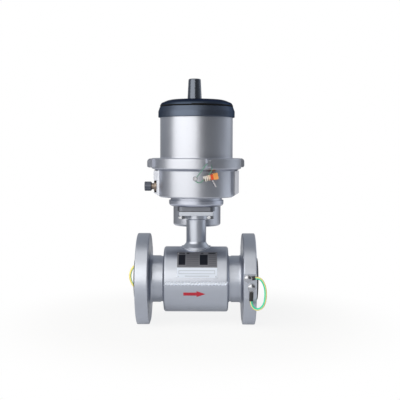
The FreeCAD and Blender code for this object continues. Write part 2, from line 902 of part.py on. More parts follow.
def plate_bolts():
    """Four bolts that hold the adapter on the plate, with their washers."""
    bolts, washers = [], []
    under = "(plate_base - washer_thick)"
    row = 0
    for x in ("", "-"):
        for y in ("", "-"):
            row += 1
            spot = (x + "plate_bolt_pitch / 2", y + "plate_bolt_pitch / 2")
            head = hexagon("plate_head_%d" % row, "plate_bolt_across", "plate_bolt_head",
                           spot[0], spot[1], under + " - plate_bolt_head")
            shank = cylinder("plate_shank_%d" % row, "plate_bolt_radius", "plate_bolt_grip",
                             spot[0], spot[1], under)
            bolts.append(fuse("plate_bolt_%d" % row, [head, shank]))
            disc = cylinder("washer_disc_%d" % row, "washer_radius", "washer_thick", spot[0], spot[1], under)
            way = cylinder("washer_way_%d" % row, "plate_bolt_radius + slip_gap", "washer_thick",
                           spot[0], spot[1], under)
            washers.append(cut("plate_washer_%d" % row, disc, way))
    group("plate_bolts", bolts)
    group("plate_washers", washers)


def adapter_screws():
    """Four cap screws that hold the transmitter on the adapter from inside."""
    screws = []
    for row, (x, y) in enumerate(SQUARE_WAYS):
        spot = (x % "adapter_screw_circle / 2", y % "adapter_screw_circle / 2")
        head = cylinder("adapter_head_%d" % row, "adapter_screw_head", "adapter_screw_head_height",
                        spot[0], spot[1], POT_FLOOR)
        shank = cylinder("adapter_shank_%d" % row, "adapter_screw_radius", "adapter_screw_length",
                         spot[0], spot[1], POT_FLOOR + " - adapter_screw_length")
        screws.append(fuse("adapter_screw_%d" % row, [head, shank]))
    group("adapter_screws", screws)


# Lower housing, port and canister


def pot_housing():
    """Cast lower housing with a flat pad on each side and a spigot for the can."""
    body = new_body("pot_housing")
    sketch = new_sketch(body, "XZ_Plane")
    spigot_top = "(%s + spigot_height)" % CAN_BASE
    outline(sketch, [
        ("0", POT_BASE),
        ("pot_radius", POT_BASE),
        ("pot_radius", CAN_BASE),
        (SPIGOT_RADIUS, CAN_BASE),
        (SPIGOT_RADIUS, spigot_top),
        ("0", spigot_top),
    ])
    revolve(body, sketch, "V_Axis")
    pads = new_sketch(body, "XY_Plane", POT_BASE)
    rectangle(pads, "-" + PAD_REACH, PAD_REACH, "-pad_half", "pad_half")
    pad(body, pads, "pot_height")
    reach, half = number("sqrt(pot_radius ^ 2 - pad_half ^ 2)"), number("pad_half")

    def valley(edge):
        box = edge.BoundBox
        upright = box.XLength < CLOSE and box.YLength < CLOSE
        return upright and abs(abs(box.Center.x) - reach) < 0.1 and abs(abs(box.Center.y) - half) < 0.1
    fillet(body, "pad_blend", valley)
    for side in ("", "-"):
        slope = new_sketch(body, "XZ_Plane")
        near, far = "%s(%s - pad_slope)" % (side, PAD_REACH), "%s(2 * %s)" % (side, PAD_REACH)
        outline(slope, [
            (near, POT_BASE),
            (side + PAD_REACH, "%s + pad_rise" % POT_BASE),
            (far, "%s + pad_rise" % POT_BASE),
            (far, "%s - pad_rise" % POT_BASE),
            (near, "%s - pad_rise" % POT_BASE),
        ])
        pocket(body, slope, "2 * " + PAD_REACH, midplane=True)
    fillet(body, "pot_round", rim(Z_AXIS, POT_BASE, "pot_radius"))
    cavity = new_sketch(body, "XY_Plane", POT_FLOOR)
    circle(cavity, POT_INSIDE)
    pocket(body, cavity, reverse=True)
    way = new_sketch(body, "XY_Plane", POT_FLOOR)
    circle(way, "neck_bore")
    for x, y in SQUARE_WAYS:
        circle(way, "adapter_screw_radius + bolt_play", x % "adapter_screw_circle / 2",
               y % "adapter_screw_circle / 2")
    pocket(body, way, "pot_floor")
    notch = new_sketch(body, "XZ_Plane", "pad_half")
    rectangle(notch, "-" + PAD_REACH, "-" + PORT_FACE, PORT_Z + " - port_notch_half", PORT_Z + " + port_notch_half")
    pocket(body, notch, "pad_half - port_ahead + port_notch_half")
    port = new_sketch(body, "YZ_Plane", "-" + PORT_FACE)
    circle(port, "port_stem_radius", "-port_ahead", PORT_Z)
    pocket(body, port, PORT_FACE, reverse=True)
    ring = new_sketch(body, "XZ_Plane")
    middle = "(%s + spigot_height / 2)" % CAN_BASE
    rectangle(ring, COLLAR_BORE + " - 2 * seal_ring_radius", "2 * " + SPIGOT_RADIUS,
              middle + " - seal_ring_radius", middle + " + seal_ring_radius")
    groove(body, ring, "V_Axis")
    seal = new_sketch(body, "XZ_Plane", POT_INSIDE)
    circle(seal, "seal_screw_shank + thread_play", "seal_screw_side", "%s + seal_screw_rise" % POT_BASE)
    pocket(body, seal, "4 * pot_wall", midplane=True)
    saddle = new_sketch(body, "XZ_Plane", "-" + POT_INSIDE)
    for side in ("", "-"):
        circle(saddle, "saddle_screw_radius + bolt_play", side + "saddle_screw_pitch / 2",
               "%s - saddle_height / 2" % SADDLE_TOP)
    pocket(body, saddle, "4 * pot_wall", midplane=True)


def housing_seal():
    """Round sealing ring in the spigot's groove."""
    item = doc.addObject("Part::Torus", "housing_seal")
    bind(item, "Radius2", "seal_ring_radius - slip_gap / 2")
    bind(item, "Radius1", COLLAR_BORE + " - seal_ring_radius")
    place(item, z="%s + spigot_height / 2" % CAN_BASE)
    node(item, "housing_seal")


def port_connector():
    """Turned brass connector with a round rim and a hollow threaded stem."""
    body = new_body("port_connector")
    sketch = new_sketch(body, "XZ_Plane")
    outline(sketch, [
        ("port_stem_inside", "port_bore"),
        ("port_stem_inside", "port_stem_radius - thread_play"),
        ("0", "port_stem_radius - thread_play"),
        ("0", "port_rim_radius"),
        ("-port_rim_thick", "port_rim_radius"),
        ("-port_rim_thick", "port_stem_radius - thread_play"),
        ("-(port_rim_thick + port_stem_length)", "port_stem_radius - thread_play"),
        ("-(port_rim_thick + port_stem_length)", "port_bore"),
    ])
    revolve(body, sketch, "H_Axis")
    place(body, "-" + PORT_FACE, "-port_ahead", PORT_Z)


def port_cap():
    """Fluted screw cap of the service port."""
    body = new_body("port_cap")
    sketch = new_sketch(body, "XZ_Plane")
    near = "-(port_rim_thick + port_cap_stand)"
    far = "-(port_rim_thick + port_cap_stand + port_cap_length)"
    end = "-(port_rim_thick + port_stem_length + 2 * thread_play)"
    outline(sketch, [
        (near, "port_stem_radius"),
        (near, "port_cap_radius - port_cap_bevel"),
        (near + " - port_cap_bevel", "port_cap_radius"),
        (far + " + port_cap_bevel / 2", "port_cap_radius"),
        (far, "port_cap_radius - port_cap_bevel / 2"),
        (far, "0"),
        (end, "0"),
        (end, "port_stem_radius"),
    ])
    revolve(body, sketch, "H_Axis")
    flute = new_sketch(body, "YZ_Plane", far)
    circle(flute, "flute_radius", "port_cap_radius + flute_stand", "0")
    first = pocket(body, flute, "port_cap_length", reverse=True)
    polar(body, [first], "X_Axis", "flute_count")
    place(body, "-" + PORT_FACE, "-port_ahead", PORT_Z)


def canister_body():
    """Rear battery canister: a cup with a saddle that seats on the lower housing."""
    body = new_body("canister_body")
    sketch = new_sketch(body, "XZ_Plane")
    outline(sketch, [
        ("0", "canister_base"),
        ("canister_radius", "canister_base"),
        ("canister_radius", CANISTER_TOP),
        ("0", CANISTER_TOP),
    ])
    revolve(body, sketch, "V_Axis")
    fillet(body, "canister_round", rim(Z_AXIS, "canister_base", "canister_radius"))
    saddle = new_sketch(body, "XZ_Plane")
    rectangle(saddle, "-saddle_half", "saddle_half", SADDLE_TOP + " - saddle_height", SADDLE_TOP)
    pad(body, saddle, "canister_radius + canister_gap + pot_wall")
    bed = new_sketch(body, "XY_Plane", SADDLE_TOP)
    circle(bed, "pot_radius + slip_gap", "0", "-" + CANISTER_Y)
    pocket(body, bed, midplane=True)
    cavity = new_sketch(body, "XY_Plane", "canister_base + canister_wall")
    circle(cavity, "canister_radius - canister_wall")
    pocket(body, cavity, reverse=True)
    holes = new_sketch(body, "XZ_Plane")
    for side in ("", "-"):
        circle(holes, "saddle_screw_radius + thread_play", side + "saddle_screw_pitch / 2",
               SADDLE_TOP + " - saddle_height / 2")
    pocket(body, holes, "2 * canister_radius", reverse=True)
    place(body, y=CANISTER_Y)


def canister_cover():
    """Cover of the rear canister with a spigot that centres it."""
    body = new_body("canister_cover")
    sketch = new_sketch(body, "XZ_Plane")
    inner = "(canister_radius - canister_wall - slip_gap)"
    outline(sketch, [
        ("0", CANISTER_TOP + " - canister_wall"),
        (inner, CANISTER_TOP + " - canister_wall"),
        (inner, CANISTER_TOP),
        ("canister_radius", CANISTER_TOP),
        ("canister_radius", CANISTER_TOP + " + canister_cover_thick"),
        ("0", CANISTER_TOP + " + canister_cover_thick"),
    ])
    revolve(body, sketch, "V_Axis")
    top = rim(Z_AXIS, CANISTER_TOP + " + canister_cover_thick", "canister_radius")
    fillet(body, "canister_cover_round", top)
    holes = new_sketch(body, "XY_Plane", CANISTER_TOP + " + canister_cover_thick")
    for x, y in SQUARE_WAYS:
        circle(holes, "cover_screw_radius + thread_play", x % COVER_CIRCLE, y % COVER_CIRCLE)
    pocket(body, holes, "cover_screw_length")
    place(body, y=CANISTER_Y)


def canister_fittings():
    """Screws of the canister and the cells in it."""
    screws = []
    height = "(%s - saddle_height / 2)" % SADDLE_TOP
    for row, side in enumerate(("", "-")):
        x = side + "saddle_screw_pitch / 2"
        inner = number("sqrt((pot_radius - pot_wall) ^ 2 - (saddle_screw_pitch / 2 + saddle_screw_head) ^ 2)")
        head = cylinder("saddle_head_%d" % row, "saddle_screw_head", "saddle_screw_head", x,
                        "%s - saddle_screw_head" % inner, height, Y_AXIS)
        shank = cylinder("saddle_shank_%d" % row, "saddle_screw_radius", "saddle_screw_length", x,
                         str(inner), height, Y_AXIS)
        screws.append(fuse("saddle_screw_%d" % row, [head, shank]))
    group("saddle_screws", screws)
    tops = []
    seat = "(%s + canister_cover_thick)" % CANISTER_TOP
    for row, (x, y) in enumerate(SQUARE_WAYS):
        spot = (x % COVER_CIRCLE, "%s + %s" % (CANISTER_Y, y % COVER_CIRCLE))
        head = cylinder("cover_head_%d" % row, "cover_screw_head", "cover_screw_head_thick", spot[0], spot[1], seat)
        shank = cylinder("cover_shank_%d" % row, "cover_screw_radius", "cover_screw_length", spot[0], spot[1],
                         seat + " - cover_screw_length")
        tops.append(fuse("cover_screw_%d" % row, [head, shank]))
    group("cover_screws", tops)
    group("canister_cells", ring_of("canister_cell", 3, 90, "canister_cell_circle", lambda name, x, y: cylinder(
        name, "cell_radius", "cell_height", x, "%s + %s" % (CANISTER_Y, y), "canister_base + canister_wall")))


# Upper housing, band, window and lid


def upper_can():
    """Upper housing: a straight can, a thick collar and four grip ears."""
    body = new_body("upper_can")
    inner_step = "(%s + spigot_height + slip_gap)" % CAN_BASE
    sketch = new_sketch(body, "XZ_Plane")
    outline(sketch, [
        (COLLAR_BORE, CAN_BASE),
        (COLLAR_BORE + " + collar_lip", CAN_BASE),
        ("collar_radius", "%s + collar_bevel" % CAN_BASE),
        ("collar_radius", COLLAR_TOP),
        ("can_radius", COLLAR_TOP),
        ("can_radius", CAN_TOP),
        (CAN_INSIDE, CAN_TOP),
        (CAN_INSIDE, inner_step),
        (COLLAR_BORE, inner_step),
    ])
    revolve(body, sketch, "V_Axis")
    low = rim(Z_AXIS, "%s + collar_bevel" % CAN_BASE, "collar_radius")
    fillet(body, "collar_round", either(low, rim(Z_AXIS, COLLAR_TOP, "collar_radius")))
    fillet(body, "collar_round", rim(Z_AXIS, COLLAR_TOP, "can_radius"))
    ear = new_sketch(body, "XZ_Plane")
    root = "(collar_radius - ear_thick / 2)"
    ear_low, ear_high = "%s + collar_bevel + collar_round" % CAN_BASE, COLLAR_TOP + " - collar_round / 4"
    rectangle(ear, root, "ear_reach", ear_low, ear_high)
    ear_pad = pad(body, ear, "ear_thick", midplane=True)
    polar(body, [ear_pad], "Z_Axis", "ear_count")
    hole = new_sketch(body, "YZ_Plane")
    circle(hole, "ear_hole_radius", "-ear_hole_reach", "(%s + %s) / 2 + ear_hole_radius" % (CAN_BASE, COLLAR_TOP))
    pocket(body, hole, "2 * ear_thick", midplane=True)
    tip = number("ear_reach")
    top = number(ear_high)

    def outer_corner(edge):
        box = edge.BoundBox
        spot = Vector(box.Center.x, box.Center.y, 0)
        flat = box.ZLength < CLOSE and edge.Length < number("ear_thick") * 1.2
        return flat and abs(spot.Length - tip) < 0.2 and abs(box.Center.z - top) < 0.1

    def lower_corner(edge):
        box = edge.BoundBox
        spot = Vector(box.Center.x, box.Center.y, 0)
        flat = box.ZLength < CLOSE and edge.Length < number("ear_thick") * 1.2
        return flat and abs(spot.Length - tip) < 0.2 and box.Center.z < top - 5
    fillet(body, "ear_round", outer_corner)
    fillet(body, "ear_round / 2", lower_corner)
    body.Placement = Placement(Vector(), Rotation(Z_AXIS, number("ear_angle")))


def lid_band():
    """Dark band on the can that carries the window and the lid's hinge."""
    body = new_body("lid_band")
    sketch = new_sketch(body, "XZ_Plane")
    outline(sketch, [
        ("can_radius + slip_gap", BAND_BASE),
        ("band_radius", BAND_BASE),
        ("band_radius", BAND_TOP + " - band_bevel_height"),
        ("band_radius - band_bevel", BAND_TOP),
        ("window_radius + slip_gap", BAND_TOP),
        ("window_radius + slip_gap", WINDOW_BASE),
        ("band_ledge", WINDOW_BASE),
        ("band_ledge", CAN_TOP),
        ("can_radius + slip_gap", CAN_TOP),
    ])
    revolve(body, sketch, "V_Axis")
    low = rim(Z_AXIS, BAND_BASE, "band_radius")
    turn = rim(Z_AXIS, BAND_TOP + " - band_bevel_height", "band_radius")
    fillet(body, "band_round", either(low, turn))
    for side in ("", "-"):
        start = "(%s(knuckle_half + knuckle_gap))" % side
        arm = new_sketch(body, "YZ_Plane", start)
        root = "(band_radius - 2 * band_bevel)"
        outline(arm, [
            (root, BAND_TOP + " - band_bevel_height - knuckle_radius"),
            ("hinge_back + knuckle_radius", HINGE_HEIGHT),
            ("hinge_back - knuckle_radius", HINGE_HEIGHT),
            (root, BAND_TOP + " - lid_gap"),
        ])
        pad(body, arm, "knuckle_width", reverse=bool(side))
        eye = new_sketch(body, "YZ_Plane", start)
        circle(eye, "knuckle_radius", "hinge_back", HINGE_HEIGHT)
        pad(body, eye, "knuckle_width", reverse=bool(side))
    pin = new_sketch(body, "YZ_Plane")
    circle(pin, "hinge_pin_radius", "hinge_back", HINGE_HEIGHT)
    pocket(body, pin, midplane=True)


def window_parts():
    """Window over the display and the ring that holds it."""
    glass = cylinder("display_window", "window_radius", "window_thick", z=WINDOW_BASE)
    node(glass, "display_window")
    ring = cylinder("window_ring_outer", "window_radius", "window_ring_thick",
                    z=WINDOW_BASE + " + window_thick")
    way = cylinder("window_ring_way", "window_radius - window_ring_width", "window_ring_thick",
                   z=WINDOW_BASE + " + window_thick")
    node(cut("window_ring", ring, way), "window_ring")


def lid():
    """Domed display lid with a thumb notch in front and a knuckle behind."""
    body = new_body("lid")
    sketch = new_sketch(body, "XZ_Plane")
    skirt_low = "(%s + lid_gap)" % BAND_TOP
    skirt_out = "(lid_radius - lid_skirt)"
    skirt_in = "(lid_radius - lid_skirt - lid_wall)"
    outline(sketch, [
        (skirt_in, skirt_low),
        (skirt_out, skirt_low),
        (skirt_out, LID_BASE),
        ("lid_radius", LID_BASE),
        ("lid_radius", LID_EDGE),
        ("lid_shoulder", LID_SHOULDER),
        ("lid_crown", LID_TOP),
        ("0", LID_TOP),
        ("0", LID_TOP + " - lid_wall"),
        ("lid_crown", LID_TOP + " - lid_wall"),
        ("lid_shoulder", LID_SHOULDER + " - lid_wall"),
        (skirt_in, LID_EDGE),
    ])
    revolve(body, sketch, "V_Axis")
    fillet(body, "lid_edge_round", rim(Z_AXIS, LID_EDGE, "lid_radius"))
    fillet(body, "lid_shoulder_round", rim(Z_AXIS, LID_SHOULDER, "lid_shoulder"))
    notch = new_sketch(body, "XZ_Plane", "lid_radius - lid_notch_depth")
    left = "lid_notch_offset - lid_notch_width / 2"
    right = "lid_notch_offset + lid_notch_width / 2"
    rectangle(notch, left, right, LID_BASE + " - lid_groove", LID_BASE + " + lid_notch_rise")
    pocket(body, notch, "lid_radius", reverse=True)
    arm = new_sketch(body, "YZ_Plane")
    rectangle(arm, "lid_radius - lid_skirt - lid_wall / 2", "hinge_back",
              LID_BASE, HINGE_HEIGHT + " + knuckle_radius")
    pad(body, arm, "2 * knuckle_half", midplane=True)
    eye = new_sketch(body, "YZ_Plane")
    circle(eye, "knuckle_radius", "hinge_back", HINGE_HEIGHT)
    pad(body, eye, "2 * knuckle_half", midplane=True)
    pin = new_sketch(body, "YZ_Plane")
    circle(pin, "hinge_pin_radius + hinge_play", "hinge_back", HINGE_HEIGHT)
    pocket(body, pin, "2 * knuckle_half + knuckle_gap", midplane=True)
    way = new_sketch(body, "XY_Plane", LID_TOP)
    circle(way, "nipple_radius + slip_gap", "antenna_offset", "0")
    pocket(body, way, "2 * lid_wall")


def hinge_pin():
    """Pin through the band's two knuckles and the lid's one."""
    reach = "(knuckle_half + knuckle_gap + knuckle_width)"
    pin = cylinder("hinge_pin", "hinge_pin_radius", "2 * " + reach, "-" + reach, "hinge_back", HINGE_HEIGHT, X_AXIS)
    node(pin, "hinge_pin")


def antenna():
    """Tapered antenna stub on the lid and its nut below."""
    body = new_body("antenna_stub")
    sketch = new_sketch(body, "XZ_Plane")
    top = "(%s + antenna_height)" % LID_TOP
    outline(sketch, [
        ("0", LID_TOP + " - nipple_length"),
        ("nipple_radius", LID_TOP + " - nipple_length"),
        ("nipple_radius", LID_TOP),
        ("antenna_base", LID_TOP),
        ("antenna_top", top),
        ("0", top),
    ])
    revolve(body, sketch, "V_Axis")
    fillet(body, "antenna_round", rim(Z_AXIS, top, "antenna_top"))
    place(body, "antenna_offset")
    low = "(%s - lid_wall - antenna_nut_height)" % LID_TOP
    nut = hexagon("antenna_hexagon", "antenna_nut_across", "antenna_nut_height", "antenna_offset", z=low)
    way = cylinder("antenna_thread", "nipple_radius + slip_gap", "antenna_nut_height", "antenna_offset", z=low)
    node(cut("antenna_nut", nut, way), "antenna_nut")


# Electronics and batteries


def electronics():
    """Battery tray, cells, posts, boards, terminals and screen in the housing."""
    tray = cylinder("tray_disc", "tray_radius", "tray_thick", z=TRAY_BASE)
    way = cylinder("tray_way", "neck_bore", "tray_thick", z=TRAY_BASE)
    foot = cylinder("tray_foot", "neck_bore + tray_thick", TRAY_RISE, z=POT_FLOOR)
    foot_way = cylinder("tray_foot_way", "neck_bore", TRAY_RISE, z=POT_FLOOR)
    stand = cut("tray_stand", foot, foot_way)
    node(fuse("battery_tray", [cut("tray_plate", tray, way), stand]), "battery_tray")
    cells = []
    base = TRAY_BASE + " + tray_thick"
    for x in ("", "-"):
        for y in ("", "-"):
            cells.append(cylinder("cell_%d" % len(cells), "cell_radius", "cell_height",
                                  x + "cell_pitch / 2", y + "cell_pitch / 2", base))
    group("battery_cells", cells)
    group("frame_posts", ring_of("frame_post", 3, 90, POST_CIRCLE, lambda name, x, y: cylinder(
        name, "post_radius", "post_height", x, y, POT_FLOOR)))
    node(cylinder("main_board", "board_radius", "board_thick", z=MAIN_BOARD), "main_board")
    blocks = [block("terminal_%s" % name, "terminal_length", "terminal_width", "terminal_height", "0",
                    side + "terminal_pitch / 2", MAIN_BOARD + " + board_thick")
              for name, side in (("front", "-"), ("rear", ""))]
    group("terminal_blocks", blocks)
    group("display_posts", ring_of("display_post", 3, 90, POST_CIRCLE, lambda name, x, y: cylinder(
        name, "post_radius", "display_post_height", x, y, MAIN_BOARD + " + board_thick")))
    board = cylinder("display_board", "display_board_radius", "board_thick", z=DISPLAY_BOARD)
    node(board, "display_board")
    screen = block("display_module", "screen_length", "screen_width", "screen_thick", "0", "0", SCREEN_BASE)
    node(screen, "display_module")
    plate = cylinder("bezel_plate", "bezel_radius", "bezel_thick", z=SCREEN_BASE + " + screen_thick")
    opening = block("bezel_opening", "bezel_window_length", "bezel_window_width", "bezel_thick", "0", "0",
                    SCREEN_BASE + " + screen_thick")
    node(cut("display_bezel", plate, opening), "display_bezel")


# Seal and nameplate


def seal_screw():
    """Screw in the front of the lower housing that holds the seal wire."""
    height = "(%s + seal_screw_rise)" % POT_BASE
    head = cylinder("seal_head", "seal_screw_radius", "seal_screw_thick", "seal_screw_side",
                    "-(pot_radius + slip_gap)", height, Vector(0, -1, 0))
    shank = cylinder("seal_shank", "seal_screw_shank", "pot_wall", "seal_screw_side",
                     "-(pot_radius + slip_gap)", height, Y_AXIS)
    node(fuse("seal_screw", [head, shank]), "seal_screw")


def seal_frame():
    """Return the placement of the seal: tangent to the housing and tilted."""
    side = number("seal_side")
    reach = number("pot_radius + seal_stand + seal_insert_depth / 2")
    spot = Vector(side, -math.sqrt(reach ** 2 - side ** 2), number("%s + seal_rise" % POT_BASE))
    azimuth = Rotation(Z_AXIS, math.degrees(math.asin(side / reach)))
    turn = azimuth.multiply(Rotation(Y_AXIS, -number("seal_tilt")))
    return Placement(spot, turn)


def seal_piece(label, length, depth, width, start):
    """Make a rounded block of the seal that starts at a place along it."""
    body = new_body(label)
    sketch = new_sketch(body, "XZ_Plane")
    rectangle(sketch, start, "%s + %s" % (start, length), "-%s / 2" % width, "%s / 2" % width)
    pad(body, sketch, depth, midplane=True)
    limit = number(depth) * 0.99

    def crosswise(edge):
        return edge.BoundBox.YLength > limit
    fillet(body, "seal_round", crosswise)
    body.Placement = seal_frame()
    return body


def seal():
    """Two-part seal with its tail."""
    half = "(seal_length + seal_insert_length) / 2"
    clear = seal_piece("seal_body", "seal_length", "seal_depth", "seal_width", "-" + half)
    seal_piece("seal_insert", "seal_insert_length", "seal_insert_depth", "seal_insert_width",
               "-%s + seal_length" % half)
    rod = doc.addObject("Part::Cylinder", "seal_rod")
    bind(rod, "Radius", "seal_tail_radius")
    bind(rod, "Height", "seal_tail_length + seal_width / 4")
    start = seal_frame().multVec(Vector(number("seal_tail_offset"), 0, -number("seal_width / 4")))
    rod.Placement = Placement(start, Rotation(Z_AXIS, SEAL_TAIL_WAY))
    node(cut("seal_tail", rod, clear), "seal_tail")


def nameplate():
    """Blank curved plate on the upper front of the coil housing."""
    width = "nameplate_left + nameplate_right"
    sweep = "nameplate_high_angle - nameplate_low_angle"
    outer = cylinder("nameplate_outer", "shell_radius + slip_gap + nameplate_thick", width, sweep=sweep)
    inner = cylinder("nameplate_inner", "shell_radius + slip_gap", width, sweep=sweep)
    plate = node(cut("nameplate", outer, inner), "nameplate")
    high = math.radians(number("nameplate_high_angle"))
    top = Vector(0, -math.cos(high), math.sin(high))
    turn = Rotation(top, Vector(0, -math.sin(high), -math.cos(high)), X_AXIS, "ZXY")
    plate.Placement = Placement(Vector(-number("nameplate_left"), 0, 0), turn)


# Cords and earth straps


def cord(label, points, radius):
    """Make a cord along straight runs joined by tangent arcs."""
    runs = [(points[step + 1] - points[step]).Length for step in range(len(points) - 1)]
    edges = []
    radii = []
    start = points[0]
    for step in range(1, len(points) - 1):
        before = (points[step] - points[step - 1]).normalize()
        after = (points[step + 1] - points[step]).normalize()
        turn = before.getAngle(after)
        shorter = min(runs[step - 1], runs[step])
        reach = BEND_SHARE * shorter
        bend = reach / math.tan(turn / 2)
        radii.append(bend)
        first = points[step] - before * reach
        last = points[step] + after * reach
        inward = (after - before).normalize()
        middle = points[step] + inward * (bend / math.cos(turn / 2) - bend)
        edges.append(Part.LineSegment(start, first).toShape())
        edges.append(Part.Arc(first, middle, last).toShape())
        start = last
    edges.append(Part.LineSegment(start, points[-1]).toShape())
    path = Part.Wire(edges)
    heading = (points[1] - points[0]).normalize()
    section = Part.Wire([Part.Circle(points[0], heading, radius).toShape()])
    solid = path.makePipeShell([section], True, False)
    expected = math.pi * radius ** 2 * path.Length
    if abs(solid.Volume - expected) > CLOSE * expected:
        raise RuntimeError(label + ": the cord's volume is not its section times its length")
    print(label, "length %.1f" % path.Length, "radii", " ".join("%.1f" % bend for bend in radii))
    return made(label, solid)


def vectors(rows):
    """Turn rows of coordinates into vectors."""
    return [Vector(*row) for row in rows]


# The two lugs on the strap flat of the outlet flange
STRAP_LUGS = ("upper", "lower")

# Middle points of the strap wires, and the points of the seal wires
FRONT_STRAP_ROUTE = (
    (131.6, -97.6, 11.8),
    (137.2, -98.6, -1.1),
    (138.2, -99.2, -17.6),
    (135.6, -99.4, -32.6),
    (127.6, -99.2, -41.0),
    (117.2, -98.4, -42.2),
)

REAR_STRAP_ROUTE = (
    (-134.0, 97.6, 15.5),
    (-143.5, 98.6, 5.5),
    (-148.3, 99.2, -9.0),
    (-145.5, 99.4, -24.0),
    (-137.0, 99.2, -36.0),
    (-127.0, 98.6, -42.4),
    (-116.5, 98.0, -42.4),
)

SEAL_WIRE_ROUTE = (
    (1.7, -81.8, 214.7),
    (5.4, -86.2, 219.8),
    (11.6, -93.4, 227.4),
    (16.2, -96.6, 235.0),
    (20.9, -96.0, 241.0),
    (29.9, -93.5, 241.5),
    (33.6, -93.4, 235.0),
    (33.0, -92.4, 227.6),
    (29.6, -87.4, 222.8),
    (25.8, -80.8, 219.0),
)

SEAL_TIE_ROUTE = (
    (-0.8, -82.0, 206.9),
    (2.0, -82.8, 204.4),
    (6.8, -84.0, 203.4),
    (11.4, -84.6, 205.4),
    (15.1, -83.9, 209.8),
)


def lug_heading(lug):
    """Return the direction of a front lug's barrel."""
    angle = math.radians(number(lug + "_lug_angle"))
    return Vector(math.cos(angle), 0, math.sin(angle))


def lug_spot(lug, reach):
    """Return a point on the axis of a front lug's barrel, from its ring's centre."""
    depth = number("strap_depth + lug_thick + lug_barrel")
    centre = Vector(number(lug + "_lug_x"), -depth, number(lug + "_lug_z"))
    return centre + lug_heading(lug) * number(reach)


def lug_rod(name, lug, radius, start, finish):
    """Make a cylinder on the axis of a front lug's barrel."""
    spot = lug_spot(lug, start)
    rod = cylinder(name, radius, "(%s) - (%s)" % (finish, start), str(spot.x), str(spot.y), str(spot.z),
                   lug_heading(lug))
    return rod


def lug_bar(name, lug, start, finish, thick):
    """Make a bar that lies on the strap flat along a front lug."""
    bar = doc.addObject("Part::Box", name)
    bind(bar, "Length", "(%s) - (%s)" % (finish, start))
    bind(bar, "Width", thick)
    bind(bar, "Height", "lug_root_width")
    spot = lug_spot(lug, start)
    spot.y = -number("strap_depth + %s" % thick)
    turn = Rotation(Y_AXIS, -number(lug + "_lug_angle"))
    side = turn.multVec(Vector(0, 0, -number("lug_root_width / 2")))
    bar.Placement = Placement(spot + side, turn)
    return bar


def strap_end(lug, turn):
    """Make a lug, its screw and its sleeve, and turn them to their flange."""
    name = "%s_%d" % (lug, turn)
    x, z = lug + "_lug_x", lug + "_lug_z"
    under = "-(strap_depth + lug_thick)"
    ring = cylinder("lug_ring_" + name, "lug_ring", "lug_thick", x, under, z, Y_AXIS)
    tongue = lug_bar("lug_tongue_" + name, lug, "0", "lug_root + lug_root_length", "lug_thick")
    root = lug_bar("lug_root_" + name, lug, "lug_root", "lug_root + lug_root_length", "lug_thick + lug_barrel")
    barrel = lug_rod("lug_barrel_" + name, lug, "lug_barrel", "lug_root", lug + "_lug_reach")
    way = cylinder("lug_way_" + name, "strap_screw_radius + slip_gap", "lug_thick", x, under, z, Y_AXIS)
    solid = fuse("lug_solid_" + name, [ring, tongue, root, barrel])
    drilled = cut("lug_" + name, solid, way)
    head = hexagon("strap_head_" + name, "strap_screw_across", "strap_screw_head", x, under, z, Vector(0, -1, 0))
    shank = cylinder("strap_shank_" + name, "strap_screw_radius", "strap_screw_length", x, under, z, Y_AXIS)
    screw = fuse("strap_screw_" + name, [head, shank])
    finish = lug + "_lug_reach + sleeve_overlap"
    outer = lug_rod("sleeve_outer_" + name, lug, "sleeve_radius", "sleeve_start", finish)
    inner = lug_rod("sleeve_inner_" + name, lug, "sleeve_bore", "sleeve_start", finish)
    sleeve = cut("sleeve_" + name, cut("sleeve_tube_" + name, outer, inner), solid)
    for item in (drilled, screw, sleeve):
        item.Placement = Placement(Vector(), Rotation(Z_AXIS, turn))
    return drilled, screw, sleeve


def strap_wire(label, middle, turn):
    """Make a strap wire from the upper lug's barrel round to the lower one's."""
    run = Rotation(Z_AXIS, turn)
    starts = [lug_spot("upper", "upper_lug_reach"), lug_spot("upper", "upper_lug_reach + strap_wire_lead")]
    ends = [lug_spot("lower", "lower_lug_reach + strap_wire_lead"), lug_spot("lower", "lower_lug_reach")]
    points = [run.multVec(spot) for spot in starts] + middle + [run.multVec(spot) for spot in ends]
    return cord(label, points, number("strap_wire_radius"))


def earth_straps():
    """Two earth straps: lugs, screws, sleeves and the wires between them."""
    ends = [strap_end(lug, turn) for turn in (0, 180) for lug in STRAP_LUGS]
    for row, label in enumerate(("strap_lugs", "strap_screws", "strap_sleeves")):
        group(label, [end[row] for end in ends])
    strap_wire("strap_wire_front", vectors(FRONT_STRAP_ROUTE), 0)
    strap_wire("strap_wire_rear", vectors(REAR_STRAP_ROUTE), 180)


def seal_wires():
    """Twisted seal wire through the ear and its tie at the screw."""
    cord("seal_wire", vectors(SEAL_WIRE_ROUTE), number("seal_wire_radius"))
    cord("seal_tie", vectors(SEAL_TIE_ROUTE), number("seal_wire_radius"))


def build():
    """Build every piece in the order of assembly."""
    fill_sheet()
    measuring_tube()
    liner()
    flange("inlet_flange", 180)
    flange("outlet_flange", 0)
    housing_half("housing_upper", "shell_radius", True)
    housing_half("housing_lower", "shell_radius + shell_lap", False)
    seam_welds()
    coils()
    yoke()
    electrodes()
    neck()
    neck_gasket()
    base_adapter()
    plate_bolts()
    adapter_screws()
    pot_housing()
    housing_seal()
    port_connector()
    port_cap()
    canister_body()
    canister_cover()
    canister_fittings()
    upper_can()
    lid_band()
    window_parts()
    lid()
    hinge_pin()
    antenna()
    electronics()
    seal_screw()
    seal()
    nameplate()
    earth_straps()
    seal_wires()
    doc.recompute()


